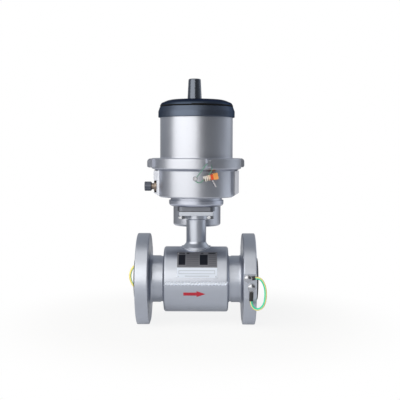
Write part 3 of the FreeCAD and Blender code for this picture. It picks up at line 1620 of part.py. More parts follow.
def export():
    """Check every object and write each kept piece to its own file."""
    for item in doc.Objects:
        if "Invalid" in item.State or "Error" in item.State:
            raise RuntimeError("%s is in state %s" % (item.Name, item.State))
    for piece in nodes:
        if piece.Shape.isNull() or not piece.Shape.isValid():
            raise RuntimeError(piece.Label + " has no valid shape")
    os.makedirs("parts", exist_ok=True)
    for piece in nodes:
        piece.Shape.exportStep(os.path.join("parts", piece.Label + ".step"))
    print(len(nodes), "pieces written")


build()
export()
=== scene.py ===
"""Looks of an electromagnetic flow meter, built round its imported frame.

Metres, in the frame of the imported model: +X is the direction of flow, +Z is up
and the nameplate faces -Y.
"""

import logging
import math
from dataclasses import dataclass, field, replace
from enum import Enum
from functools import partial
from typing import Callable, Sequence

import bmesh
import bpy
from mathutils import Matrix, Vector


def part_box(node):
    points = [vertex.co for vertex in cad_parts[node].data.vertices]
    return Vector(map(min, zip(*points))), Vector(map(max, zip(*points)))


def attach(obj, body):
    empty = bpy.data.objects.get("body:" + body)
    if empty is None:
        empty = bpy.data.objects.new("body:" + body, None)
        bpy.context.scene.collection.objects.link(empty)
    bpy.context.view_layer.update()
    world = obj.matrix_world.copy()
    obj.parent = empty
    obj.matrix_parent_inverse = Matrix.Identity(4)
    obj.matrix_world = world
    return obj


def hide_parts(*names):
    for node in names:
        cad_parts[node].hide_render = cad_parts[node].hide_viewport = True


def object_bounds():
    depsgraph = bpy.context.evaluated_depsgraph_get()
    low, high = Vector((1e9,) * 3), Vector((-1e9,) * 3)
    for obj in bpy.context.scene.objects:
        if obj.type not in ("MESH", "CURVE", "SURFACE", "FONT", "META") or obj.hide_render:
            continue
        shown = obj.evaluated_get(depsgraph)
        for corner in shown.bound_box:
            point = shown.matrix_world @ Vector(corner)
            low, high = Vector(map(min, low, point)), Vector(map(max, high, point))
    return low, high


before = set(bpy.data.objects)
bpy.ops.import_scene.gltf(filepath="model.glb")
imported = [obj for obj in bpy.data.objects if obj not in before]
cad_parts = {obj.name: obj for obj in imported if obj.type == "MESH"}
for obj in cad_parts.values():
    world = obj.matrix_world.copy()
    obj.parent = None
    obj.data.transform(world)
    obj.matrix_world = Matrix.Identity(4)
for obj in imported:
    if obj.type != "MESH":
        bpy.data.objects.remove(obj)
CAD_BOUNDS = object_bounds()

LOG = logging.getLogger("flow_meter")
FULL_TURN = 2 * math.pi

Colour = tuple[float, float, float]
Point = tuple[float, float, float]
Span = tuple[float, float]
Station = tuple[Vector, Vector, Vector]

UP: Point = (0, 0, 1)
MERGE_DISTANCE = 0.000002
SHELL_RADIUS = 0.0674
SEAL_CENTRE = Vector((0.029, -0.0787, 0.2145))

WHITE: Colour = (1.0, 1.0, 1.0)
BLACK: Colour = (0.0, 0.0, 0.0)
COOL_LIGHT: Colour = (0.93, 0.965, 1.0)
WARM_LIGHT: Colour = (1.0, 0.96, 0.88)
DARK_EDGE: Colour = (0.25, 0.28, 0.34)


class Body(Enum):
    """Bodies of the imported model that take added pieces."""

    METER = "meter"
    LID = "lid"


# Shader arithmetic


class Term:
    """A socket that takes part in arithmetic."""

    def __init__(self, tree: "Tree", socket: bpy.types.NodeSocket) -> None:
        """Keep the tree and the socket."""
        self.tree = tree
        self.socket = socket

    def __add__(self, other: "Value") -> "Term":
        """Return the sum."""
        return self.tree.math("ADD", self, other)

    def __sub__(self, other: "Value") -> "Term":
        """Return the difference."""
        return self.tree.math("SUBTRACT", self, other)

    def __rsub__(self, other: float) -> "Term":
        """Return the difference from a number."""
        return self.tree.math("SUBTRACT", other, self)

    def __mul__(self, other: "Value") -> "Term":
        """Return the product."""
        return self.tree.math("MULTIPLY", self, other)

    __radd__ = __add__
    __rmul__ = __mul__

    def wave(self, length: float) -> "Term":
        """Return a sine of this term, from 0 to 1, that repeats after a length."""
        return self.tree.math("SINE", self * (FULL_TURN / length)) * 0.5 + 0.5

    def rise(self, low: float, high: float) -> "Term":
        """Return 0 below low and 1 above high, with a smooth step between."""
        inputs = {"Value": self, "From Min": low, "From Max": high}
        return self.tree.make("ShaderNodeMapRange", {"interpolation_type": "SMOOTHSTEP"}, inputs)

    def within(self, low: float, high: float, soft: float) -> "Term":
        """Return 1 between two limits, with soft edges."""
        return self.rise(low - soft, low + soft) * (1 - self.rise(high - soft, high + soft))


Value = Term | float
Paint = Term | Colour
Rule = float | Callable[[float], float]


class Tree:
    """The nodes of one material or world."""

    def __init__(self, owner: bpy.types.Material | bpy.types.World) -> None:
        """Empty the owner's node tree and keep it."""
        owner.use_nodes = True
        self.nodes, self.links = owner.node_tree.nodes, owner.node_tree.links
        self.nodes.clear()

    def make(self, kind: str, settings: dict | None = None, inputs: dict | None = None,
             output: int | str = 0) -> Term:
        """Add one node.

        Args:
            kind: type of the node.
            settings: its properties.
            inputs: numbers, colours or terms for its sockets.
            output: the socket that is returned.

        Returns:
            The output as a term.
        """
        node = self.nodes.new(kind)
        for name, setting in (settings or {}).items():
            setattr(node, name, setting)
        for name, given in (inputs or {}).items():
            if isinstance(given, Term):
                self.links.new(given.socket, node.inputs[name])
            elif isinstance(given, tuple) and node.inputs[name].type == "RGBA":
                node.inputs[name].default_value = (*given, 1.0)
            else:
                node.inputs[name].default_value = given
        return Term(self, node.outputs[output])

    def math(self, operation: str, *values: Value) -> Term:
        """Return the result of a Math node."""
        return self.make("ShaderNodeMath", {"operation": operation}, dict(enumerate(values)))

    def vector(self, operation: str, *values: Paint, output: int | str = 0) -> Term:
        """Return the result of a Vector Math node."""
        return self.make("ShaderNodeVectorMath", {"operation": operation}, dict(enumerate(values)), output)

    def place(self) -> Term:
        """Return the place on the object, in its own frame."""
        return self.make("ShaderNodeTexCoord", output="Object")

    def along(self, axis: str) -> Term:
        """Return one coordinate of the place on the object."""
        return self.make("ShaderNodeSeparateXYZ", inputs={0: self.place()}, output=axis)

    def distance(self, centre: Point) -> Term:
        """Return the distance from a point, measured on the object."""
        return self.vector("DISTANCE", self.place(), centre, output="Value")

    def noise(self, scale: float, detail: float = 3.0, stretch: Point = (1, 1, 1)) -> Term:
        """Return a soft noise about 0.5, stretched along the axes."""
        place = self.vector("MULTIPLY", self.place(), stretch)
        return self.make("ShaderNodeTexNoise", None, {"Vector": place, "Scale": scale, "Detail": detail})

    def cells(self, scale: float, distance: str = "EUCLIDEAN") -> Term:
        """Return the distance to the nearest of many scattered points."""
        inputs = {"Vector": self.place(), "Scale": scale}
        return self.make("ShaderNodeTexVoronoi", {"distance": distance}, inputs)

    def mix(self, share: Value, first: Paint, second: Paint, blend: str = "MIX") -> Term:
        """Return a mix of two colours."""
        settings = {"data_type": "RGBA", "blend_type": blend}
        return self.make("ShaderNodeMix", settings, {0: share, 6: first, 7: second}, 2)

    def tint(self, colour: Paint, value: Value) -> Term:
        """Return a colour with its brightness multiplied."""
        grey = self.make("ShaderNodeCombineColor", None, {0: value, 1: value, 2: value})
        return self.mix(1.0, colour, grey, "MULTIPLY")


# Finishes


@dataclass
class Look:
    """What varies over a finish; the roughness is added to the finish's own."""

    colour: Paint
    rough: Value
    height: Term
    metallic: Value | None = None


@dataclass(frozen=True)
class Finish:
    """A plain finish: one colour with faint blotches and a fine grain."""

    name: str
    colour: Colour
    roughness: float = 0.45
    metallic: float = 0.0
    grain: float = 900.0
    depth: float = 0.00006
    blotch: float = 0.08
    coat: float = 0.0
    clearness: float = 0.0
    density: float = 1.47
    edge: Colour = WHITE
    coat_roughness: float = 0.12

    def look(self, tree: Tree) -> Look:
        """Return the look of the finish."""
        broad = tree.noise(18.0, 4.0)
        fine = tree.noise(self.grain, 2.0)
        value = 1 + (broad - 0.5) * self.blotch + (fine - 0.5) * self.blotch
        return Look(tree.tint(self.colour, value), (broad - 0.5) * 0.12, fine)

    def material(self) -> bpy.types.Material:
        """Return the material of the finish, made once."""
        name = "finish_" + self.name
        if name in bpy.data.materials:
            return bpy.data.materials[name]
        material = bpy.data.materials.new(name)
        tree = Tree(material)
        look = self.look(tree)
        bump = {"Strength": 1.0, "Distance": self.depth, "Height": look.height}
        connect(tree, tree.make("ShaderNodeBsdfPrincipled", None, {
            "Base Color": look.colour, "Roughness": self.roughness + look.rough,
            "Metallic": self.metallic if look.metallic is None else look.metallic,
            "Coat Weight": self.coat, "Coat Roughness": self.coat_roughness,
            "Transmission Weight": self.clearness, "IOR": self.density, "Specular Tint": self.edge,
            "Normal": tree.make("ShaderNodeBump", None, bump)}))
        return material


def connect(tree: Tree, shader: Term, kind: str = "ShaderNodeOutputMaterial") -> None:
    """Lead a shader to the output of its material or world."""
    output = tree.nodes.new(kind)
    tree.links.new(shader.socket, output.inputs["Surface"])


@dataclass(frozen=True)
class SprayedPaint(Finish):
    """Sprayed paint on a casting: orange peel, metal flake and a little dust."""

    peel: float = 260.0

    def look(self, tree: Tree) -> Look:
        """Return the look of the paint."""
        broad = tree.noise(9.0, 5.0)
        peel = tree.noise(self.peel, 2.0)
        flake = tree.cells(2600.0)
        value = 0.96 + (broad - 0.5) * self.blotch + flake * 0.06
        specks = tree.noise(140.0, 1.0).rise(0.7, 0.74) * 0.06
        colour = tree.tint(self.colour, value - specks * 0.3)
        return Look(colour, (broad - 0.5) * 0.1 + specks, peel + flake * 0.15)


@dataclass(frozen=True)
class FootShadePaint(SprayedPaint):
    """Sprayed paint with painted shade on the foot under the tier: darker below the foot's top."""

    foot_top: float = 0.154
    soft: float = 0.0004
    painted_shade: float = 0.36

    def look(self, tree: Tree) -> Look:
        """Return the look of the paint."""
        sprayed = super().look(tree)
        # painted shade: below the foot's top the colour is darkened, where the tier shades the foot
        above = tree.along("Z").rise(self.foot_top - self.soft, self.foot_top + self.soft)
        sprayed.colour = tree.tint(sprayed.colour, self.painted_shade + above * (1 - self.painted_shade))
        return sprayed


@dataclass(frozen=True)
class WorkedMetal(Finish):
    """Bare metal with fine tool marks along one axis and faint scratches."""

    stretch: Point = (40, 1, 1)

    def look(self, tree: Tree) -> Look:
        """Return the look of the metal."""
        marks = tree.noise(55.0, 6.0, self.stretch)
        stain = tree.noise(30.0, 4.0)
        scratch = tree.noise(160.0, 2.0, (1.0, 7.0, 2.0)).rise(0.62, 0.7)
        value = 0.9 + (marks - 0.5) * 0.35 + (stain - 0.5) * 0.2
        rough = (marks - 0.5) * 0.2 + (stain - 0.5) * 0.15 - scratch * 0.08
        return Look(tree.tint(self.colour, value), rough, marks + scratch * 0.3)


@dataclass(frozen=True)
class WeldMetal(Finish):
    """Painted weld bead with spatter and a rough crest."""

    def look(self, tree: Tree) -> Look:
        """Return the look of the bead."""
        crust = tree.noise(420.0, 4.0)
        spatter = tree.cells(520.0).rise(0.05, 0.35)
        colour = tree.tint(self.colour, 0.82 + crust * 0.35)
        return Look(colour, (crust - 0.5) * 0.25, crust + spatter * 0.6)


@dataclass(frozen=True)
class BlankPlate(Finish):
    """Etched plate: dark fields, thin rows and a pale foot with a frame, no lettering."""

    left_field: Span = (-0.035, -0.0213)
    right_field: Span = (0.0078, 0.0238)
    field_span: Span = (0.0372, 0.0556)
    bars: tuple[Span, ...] = ((-0.034, -0.0225), (-0.019, -0.0135), (0.0095, 0.015), (0.025, 0.041))
    bar_span: Span = (0.0568, 0.0588)
    frame_x: Span = (-0.0345, 0.0385)
    frame_z: Span = (0.02, 0.0268)
    foot_x: Span = (-0.022, 0.027)
    foot_z: Span = (0.015, 0.0166)
    line: float = 0.0009
    row_pitch: float = 0.0036
    row_start: Span = (0.0352, 0.0362)
    row_end: float = 0.041
    row_inset: float = 0.002
    pale_top: float = 0.0322
    pale_colour: Colour = (0.65, 0.71, 0.83)
    ink_colour: Colour = (0.004, 0.006, 0.012)

    def look(self, tree: Tree) -> Look:
        """Return the look of the plate."""
        across, rise = tree.along("X"), tree.along("Z")
        soft, gap = self.line / 3, self.row_inset

        def area(x: Span, z: Span, inset: float = 0.0) -> Term:
            """Return 1 inside a rectangle of the plate."""
            inside = across.within(x[0] + inset, x[1] - inset, soft)
            return inside * rise.within(z[0] + inset, z[1] - inset, soft)

        dark = area(self.left_field, self.field_span) + area(self.right_field, self.field_span)
        for bar in self.bars:
            dark = dark + area(bar, self.bar_span) * 0.8
        rows = rise.wave(self.row_pitch).rise(0.55, 0.85) * rise.rise(*self.row_start)
        beside = across.within(self.left_field[1] + gap, self.right_field[0] - gap, soft)
        beside = beside + across.within(self.right_field[1] + gap, self.row_end, soft)
        border = area(self.frame_x, self.frame_z) - area(self.frame_x, self.frame_z, self.line)
        foot = area(self.foot_x, self.foot_z)
        ink = dark * 0.95 + rows * beside * 0.45 + border * 0.45 + foot * 0.35
        pale = 1 - rise.rise(self.pale_top - soft, self.pale_top + soft)
        brushed = tree.noise(60.0, 5.0, (1, 1, 45))
        ground = tree.mix(pale, tree.tint(self.colour, 0.85 + brushed * 0.3), self.pale_colour)
        colour = tree.mix(ink, ground, self.ink_colour)
        metallic = self.metallic * (1 - pale) * (1 - ink * 0.8)
        return Look(colour, ink * 0.1, brushed * 0.4 - ink * 0.5, metallic)


@dataclass(frozen=True)
class Winding(Finish):
    """Enamelled wire wound in layers."""

    pitch: float = 0.0011

    def look(self, tree: Tree) -> Look:
        """Return the look of the winding."""
        turns = tree.along("Z").wave(self.pitch)
        value = 0.7 + turns * 0.35 + (tree.noise(300.0) - 0.5) * 0.2
        return Look(tree.tint(self.colour, value), turns * 0.1, turns)


@dataclass(frozen=True)
class CircuitBoard(Finish):
    """Circuit board: lacquer over copper runs, with tinned pads."""

    run_colour: Colour = (0.03, 0.17, 0.08)
    pad_colour: Colour = (0.62, 0.6, 0.52)

    def look(self, tree: Tree) -> Look:
        """Return the look of the board."""
        runs = tree.cells(160.0, "MANHATTAN").rise(0.42, 0.46)
        pads = 1 - tree.cells(190.0).rise(0.14, 0.18)
        colour = tree.mix(pads, tree.mix(runs, self.colour, self.run_colour), self.pad_colour)
        return Look(colour, pads * 0.1, runs * 0.5 + pads, pads * 0.8)


@dataclass(frozen=True)
class BlankScreen(Finish):
    """Unlit liquid crystal screen with its faint cells."""

    pitch: float = 0.0021

    def look(self, tree: Tree) -> Look:
        """Return the look of the screen."""
        across, deep = tree.along("X").wave(self.pitch), tree.along("Y").wave(self.pitch)
        cells = across.rise(0.05, 0.2) * deep.rise(0.05, 0.2)
        value = 0.93 + cells * 0.07 + (tree.noise(20.0) - 0.5) * 0.06
        return Look(tree.tint(self.colour, value), 0.0, cells)


@dataclass(frozen=True)
class CellWrap(Finish):
    """Shrink wrap of a battery cell, with a lighter band round its top."""

    band_edge: Span = (0.236, 0.2363)
    band_colour: Colour = (0.55, 0.56, 0.58)

    def look(self, tree: Tree) -> Look:
        """Return the look of the wrap."""
        band = tree.along("Z").rise(*self.band_edge)
        crease = tree.noise(120.0, 4.0, (1, 1, 0.15))
        colour = tree.mix(band, tree.tint(self.colour, 0.85 + crease * 0.3), self.band_colour)
        return Look(colour, (crease - 0.5) * 0.2, crease)


@dataclass(frozen=True)
class StrapInsulation(Finish):
    """Green insulation with a yellow stripe on the outside of the strap's loop."""

    stripe: Colour = (0.86, 0.76, 0.24)
    centre: Point = (0.118, -0.098, -0.012)

    def look(self, tree: Tree) -> Look:
        """Return the look of the insulation."""
        normal = tree.make("ShaderNodeTexCoord", output="Normal")
        away = tree.vector("NORMALIZE", tree.vector("SUBTRACT", tree.place(), self.centre))
        facing = tree.vector("DOT_PRODUCT", away, normal, output="Value")
        wear = tree.noise(500.0, 3.0)
        edge = (facing + (wear - 0.5) * 0.12).rise(0.16, 0.3)
        colour = tree.tint(tree.mix(edge, self.colour, self.stripe), 0.93 + wear * 0.14)
        return Look(colour, (wear - 0.5) * 0.1, wear)


@dataclass(frozen=True)
class StripedSeal(Finish):
    """Clear moulded seal with ribs across it and a warm part inside its end; painted shade darkens the
    grooves between the ribs, more towards the bottom, and a painted glow turns the body paler orange towards
    that end.
    """

    axis: Point = (0.918, 0.338, 0.208)
    warm_colour: Colour = (0.86, 0.1, 0.03)
    glow_colour: Colour = (0.95, 0.62, 0.42)
    rib_shade_colour: Colour = (0.09, 0.07, 0.06)
    rib_pitch: float = 0.0042
    low_shade_fade: Span = (-0.0045, -0.0015)
    glow_fade: Span = (-0.012, 0.001)
    warm_fade: Span = (-0.0012, -0.0002)

    def look(self, tree: Tree) -> Look:
        """Return the look of the seal."""
        run = tree.vector("DOT_PRODUCT", tree.place(), self.axis, output="Value")
        past = run - Vector(self.axis).dot(SEAL_CENTRE)
        # painted shade: the grooves between the ribs are darkened, more towards the bottom
        low = 1 - (tree.along("Z") - SEAL_CENTRE.z).rise(*self.low_shade_fade)
        ribs = run.wave(self.rib_pitch).rise(0.3, 0.7)
        # painted glow: the body turns paler orange towards the insert's end
        warm_glow = tree.mix(past.rise(*self.glow_fade), self.colour, self.glow_colour)
        colour = tree.mix(ribs * (0.35 + low * 0.65) * 0.95, warm_glow, self.rib_shade_colour)
        colour = tree.mix(past.rise(*self.warm_fade), colour, self.warm_colour)
        return Look(colour, ribs * 0.1, 1 - ribs)


@dataclass(frozen=True)
class TwistedWire(Finish):
    """Two coated wires twisted together."""

    pitch: float = 0.0016

    def look(self, tree: Tree) -> Look:
        """Return the look of the twist."""
        turn = (tree.along("X") + tree.along("Z") * 0.8 + tree.along("Y") * 0.5).wave(self.pitch)
        return Look(tree.tint(self.colour, 0.65 + turn * 0.5), 0.0, turn)


GREY_PAINT = SprayedPaint("grey_paint", (0.445, 0.47, 0.54), 0.38, 0.96, depth=0.00008)
# grey paint with painted shade on the adapter's foot under the tier
SHADED_FOOT_PAINT = FootShadePaint("foot_shaded_paint", (0.44, 0.472, 0.565), 0.38, 0.96, depth=0.00008)
TUBE_PAINT = SprayedPaint("tube_paint", (0.435, 0.468, 0.545), 0.36, 0.96, depth=0.00008)
WELD_PAINT = WeldMetal("weld_paint", (0.5, 0.53, 0.6), 0.3, 0.92, depth=0.0003)
# a lighter copy of the weld paint: its paler colour is a painted highlight on the seam beads
LIT_SEAM_PAINT = WeldMetal("seam_paint_lit", (0.8, 0.86, 0.97), 0.3, 0.3, depth=0.0003)
DARK_PAINT = SprayedPaint("dark_paint", (0.088, 0.108, 0.152), 0.4, 0.92, depth=0.00006, edge=DARK_EDGE)
LID_PAINT = SprayedPaint("lid_paint", (0.048, 0.064, 0.098), 0.34, 0.92, depth=0.00005, edge=DARK_EDGE)
STUB_PLASTIC = Finish("stub_plastic", (0.105, 0.12, 0.152), 0.25, 0.9, 1400.0, 0.00003)
CAP_PLASTIC = Finish("cap_plastic", (0.085, 0.095, 0.125), 0.36, 0.7, 1200.0)
STEEL = WorkedMetal("steel", (0.46, 0.475, 0.51), 0.26, 1.0)
TUBE_STEEL = WorkedMetal("tube_steel", (0.52, 0.52, 0.52), 0.33, 1.0, stretch=(60, 1, 1))
BOLT_STEEL = WorkedMetal("bolt_steel", (0.42, 0.44, 0.49), 0.17, 1.0, stretch=(1, 1, 30))
PLATE_STEEL = BlankPlate("plate_steel", (0.15, 0.156, 0.182), 0.45, 0.5, depth=0.0001, density=1.12)
LINER_RUBBER = Finish("liner_rubber", (0.012, 0.012, 0.013), 0.55, 0.0, 700.0, 0.0001)
SEAL_RUBBER = Finish("seal_rubber", (0.006, 0.006, 0.007), 0.6, 0.0, 900.0, 0.0001, density=1.25)
BRASS = WorkedMetal("brass", (0.235, 0.195, 0.17), 0.34, 1.0, stretch=(50, 1, 1))
GLASS = Finish("glass", (0.94, 0.97, 0.96), 0.04, 0.0, 60.0, 0.000004, 0.02, clearness=1.0)
RING_METAL = WorkedMetal("ring_metal", (0.1, 0.105, 0.12), 0.35, 0.9)
COPPER = Winding("copper", (0.55, 0.22, 0.09), 0.3, 0.85, depth=0.0002)
IRON = WorkedMetal("iron", (0.28, 0.28, 0.29), 0.42, 0.9)
BUSH_PLASTIC = Finish("bush_plastic", (0.72, 0.7, 0.63), 0.45)
TRAY_PLASTIC = Finish("tray_plastic", (0.05, 0.052, 0.058), 0.5, 0.0, 1100.0)
CELL = CellWrap("cell", (0.05, 0.14, 0.32), 0.38, depth=0.0001)
POST_METAL = WorkedMetal("post_metal", (0.6, 0.58, 0.5), 0.3, 1.0, stretch=(1, 1, 40))
BOARD = CircuitBoard("board", (0.02, 0.11, 0.05), 0.32, depth=0.00005)
TERMINAL = Finish("terminal", (0.05, 0.22, 0.13), 0.45)
SCREEN = BlankScreen("screen", (0.42, 0.47, 0.4), 0.18, depth=0.00001)
SEAL_CLEAR = StripedSeal("seal_clear", (0.82, 0.8, 0.76), 0.2, depth=0.0003, coat=0.5)
SEAL_ORANGE = Finish("seal_orange", (0.92, 0.4, 0.12), 0.3, 0.0, 500.0, coat=0.3)
SEAL_STEEL = WorkedMetal("seal_steel", (0.27, 0.28, 0.31), 0.2, 1.0)
SEAL_TAIL = Finish("seal_tail", (0.42, 0.42, 0.46), 0.35)
TINNED = WorkedMetal("tinned", (0.5, 0.5, 0.51), 0.26, 1.0)
SLEEVE = Finish("sleeve", (0.018, 0.018, 0.02), 0.4, 0.0, 800.0)
FRONT_STRAP = StrapInsulation("front_strap", (0.05, 0.64, 0.4), 0.34, depth=0.00005)
REAR_STRAP = replace(FRONT_STRAP, name="rear_strap", centre=(-0.126, 0.122, -0.012))
SEAL_WIRE = TwistedWire("seal_wire", (0.16, 0.42, 0.3), 0.3, depth=0.0004)
ARROW_RED = Finish("arrow_red", (0.44, 0.018, 0.04), 0.35, 0.0, 700.0, 0.00003)
MARK_WHITE = Finish("mark_white", (0.62, 0.63, 0.64), 0.4)


def dress(finish: Finish, *nodes: str) -> None:
    """Give nodes of the frame a finish.

    Args:
        finish: the finish to give.
        nodes: names of the nodes.
    """
    for name in nodes:
        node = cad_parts[name]
        node.data.materials.clear()
        node.data.materials.append(finish.material())


# Meshes


@dataclass
class Mesh:
    """Points and faces of a piece that is being made."""

    points: list[Vector] = field(default_factory=list)
    faces: list[list[int]] = field(default_factory=list)

    def skin(self, rings: Sequence[Sequence[Vector]], closed: bool = True, caps: bool = False) -> None:
        """Join rows of points with quads.

        Args:
            rings: rows with the same number of points.
            closed: whether the last point of a row joins its first.
            caps: whether the first and the last row are filled.
        """
        start, size = len(self.points), len(rings[0])
        last = start + (len(rings) - 1) * size
        self.points.extend(point for ring in rings for point in ring)
        for row in range(start, last, size):
            for step in range(size if closed else size - 1):
                near, far = row + step, row + (step + 1) % size
                self.faces.append([near, far, far + size, near + size])
        if caps:
            self.faces += [list(range(start, start + size))[::-1], list(range(last, last + size))]

    def turned(self, profile: Sequence[Span], place: Matrix, segments: int) -> None:
        """Turn a profile of (radius, height) about the local Z axis.

        Args:
            profile: radius and height of each ring.
            place: where the local frame stands.
            segments: steps round the axis.
        """
        self.skin([[place @ on_circle(radius, step / segments, height) for step in range(segments)]
                   for radius, height in profile])

    def piece(self, name: str, finish: Finish, body: Body = Body.METER, slot: str | None = None,
              replaces: Sequence[str] = (), crease: float = 32.0) -> bpy.types.Object:
        """Make the object, dress it and let it ride.

        Args:
            name: name of the piece.
            finish: its finish.
            body: the body that it moves with.
            slot: not used.
            replaces: nodes of the frame that it stands for.
            crease: angle in degrees above which an edge stays sharp.

        Returns:
            The object.
        """
        mesh = bpy.data.meshes.new(name)
        mesh.from_pydata(self.points, [], self.faces)
        work = bmesh.new()
        work.from_mesh(mesh)
        bmesh.ops.remove_doubles(work, verts=work.verts, dist=MERGE_DISTANCE)
        bmesh.ops.recalc_face_normals(work, faces=work.faces)
        work.to_mesh(mesh)
        work.free()
        mesh.shade_smooth()
        mesh.set_sharp_from_angle(angle=math.radians(crease))
        mesh.materials.append(finish.material())
        piece = added(name, mesh)
        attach(piece, body.value)
        if replaces:
            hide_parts(*replaces)
        return piece


def added(name: str, data: bpy.types.ID) -> bpy.types.Object:
    """Return a new object that is linked into the scene."""
    thing = bpy.data.objects.new(name, data)
    bpy.context.scene.collection.objects.link(thing)
    return thing


def on_circle(radius: float, share: float, height: float = 0.0) -> Vector:
    """Return a point on a circle about Z, at a share of the full turn."""
    angle = FULL_TURN * share
    return Vector((radius * math.cos(angle), radius * math.sin(angle), height))


def quarter(steps: int) -> list[float]:
    """Return the angles of a quarter turn in even steps."""
    return [math.radians(90 * step / steps) for step in range(steps + 1)]


def standing(place: Point, way: Point = UP) -> Matrix:
    """Return a frame at a place whose Z axis points a way."""
    return Matrix.Translation(place) @ Vector(way).to_track_quat("Z", "Y").to_matrix().to_4x4()


def hexagon_reach(across: float, share: float) -> float:
    """Return how far a hexagon's side is from its middle at a share of the turn."""
    sector = 1 / 6
    beside = (share + sector / 2) % sector - sector / 2
    return across / 2 / math.cos(FULL_TURN * beside)


class Head(Enum):
    """Kinds of screw head."""

    HEXAGON = "hexagon"
    SOCKET = "socket"


def at(rule: Rule, share: float) -> float:
    """Return a number, or what a rule gives at a share of the turn."""
    return rule(share) if callable(rule) else rule


@dataclass(frozen=True)
class Screw:
    """A screw whose seat is at the local origin and whose head stands along +Z."""

    head: Head
    width: float
    height: float
    shank: float
    length: float
    segments: int = 48
    chamfer_slope: float = 0.58
    face_share: float = 0.9
    bevel_share: float = 0.07
    key_share: float = 0.52
    key_floor: float = 0.35

    def add(self, mesh: Mesh, place: Matrix) -> None:
        """Add the screw to a mesh.

        Args:
            mesh: the mesh that takes the screw.
            place: the frame of its seat.
        """
        shares = [step / self.segments for step in range(self.segments)]
        rims = [(self.shank, -self.length), (self.shank, 0.0)]
        rims += self._hexagon() if self.head is Head.HEXAGON else self._socket()
        mesh.skin([[place @ on_circle(at(reach, share), share, at(rise, share)) for share in shares]
                   for reach, rise in rims], caps=True)

    def _hexagon(self) -> list[tuple[Rule, Rule]]:
        """Return the rims of a hexagon head with its turned chamfer."""
        face = self.width / 2 * self.face_share
        side = partial(hexagon_reach, self.width)

        def brow(share: float) -> float:
            """Return the height at which the chamfer meets the side."""
            return self.height - (side(share) - face) * self.chamfer_slope

        return [(side, 0.0), (side, brow), (face, self.height)]

    def _socket(self) -> list[tuple[Rule, Rule]]:
        """Return the rims of a round head with a hexagon socket."""
        radius, bevel, top = self.width / 2, self.width * self.bevel_share, self.height
        key = partial(hexagon_reach, self.width * self.key_share)
        return [(radius, 0.0), (radius, top - bevel), (radius - bevel, top), (key, top),
                (key, top * self.key_floor)]


@dataclass(frozen=True)
class WeldBead:
    """A weld bead along a path, with the ripples that the welder leaves."""

    radius: float
    pitch: float = 0.0068
    depth: float = 0.42
    lean: float = 0.9
    steps: int = 9
    around: int = 18

    def add(self, mesh: Mesh, path: Callable[[float], Station], length: float, closed: bool = False) -> None:
        """Add the bead to a mesh.

        Args:
            mesh: the mesh that takes the bead.
            path: gives the middle, the side way and the outward way at a share of the length.
            length: length of the path.
            closed: whether the path comes back to its start.
        """
        rows = max(1, round(length / self.pitch)) * self.steps
        rings = []
        for row in range(rows + 1):
            middle, side, out = path(row / rows)
            ahead = side.cross(out).normalized()
            radius = self.radius * (1 - self.depth * ((row % self.steps) / self.steps))
            spots = [on_circle(radius, step / self.around) for step in range(self.around)]
            rings.append([middle + side * spot.x + out * spot.y + ahead * (self.lean * spot.x)
                          for spot in spots])
        mesh.skin(rings, caps=not closed)


@dataclass(frozen=True)
class FilletBead(WeldBead):
    """A small bead with fine, shallow ripples."""

    pitch: float = 0.004
    depth: float = 0.2
    lean: float = 0.3
    steps: int = 6


# Cords


def cord_curve(name: str, points: Sequence[Point], radius: float, finish: Finish) -> bpy.types.Object:
    """Make a cord as one smooth curve.

    Args:
        name: name of the piece.
        points: its control points.
        radius: radius of the cord.
        finish: its finish.

    Returns:
        The curve object.
    """
    curve = bpy.data.curves.new(name, "CURVE")
    curve.dimensions = "3D"
    curve.bevel_depth = radius
    curve.bevel_resolution = 5
    curve.resolution_u = 10
    curve.use_fill_caps = True
    spline = curve.splines.new("NURBS")
    spline.points.add(len(points) - 1)
    for control, place in zip(spline.points, points):
        control.co = (*place, 1.0)
    spline.order_u = 3
    spline.use_endpoint_u = True
    curve.materials.append(finish.material())
    piece = added(name, curve)
    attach(piece, Body.METER.value)
    return piece


# Sub-assemblies


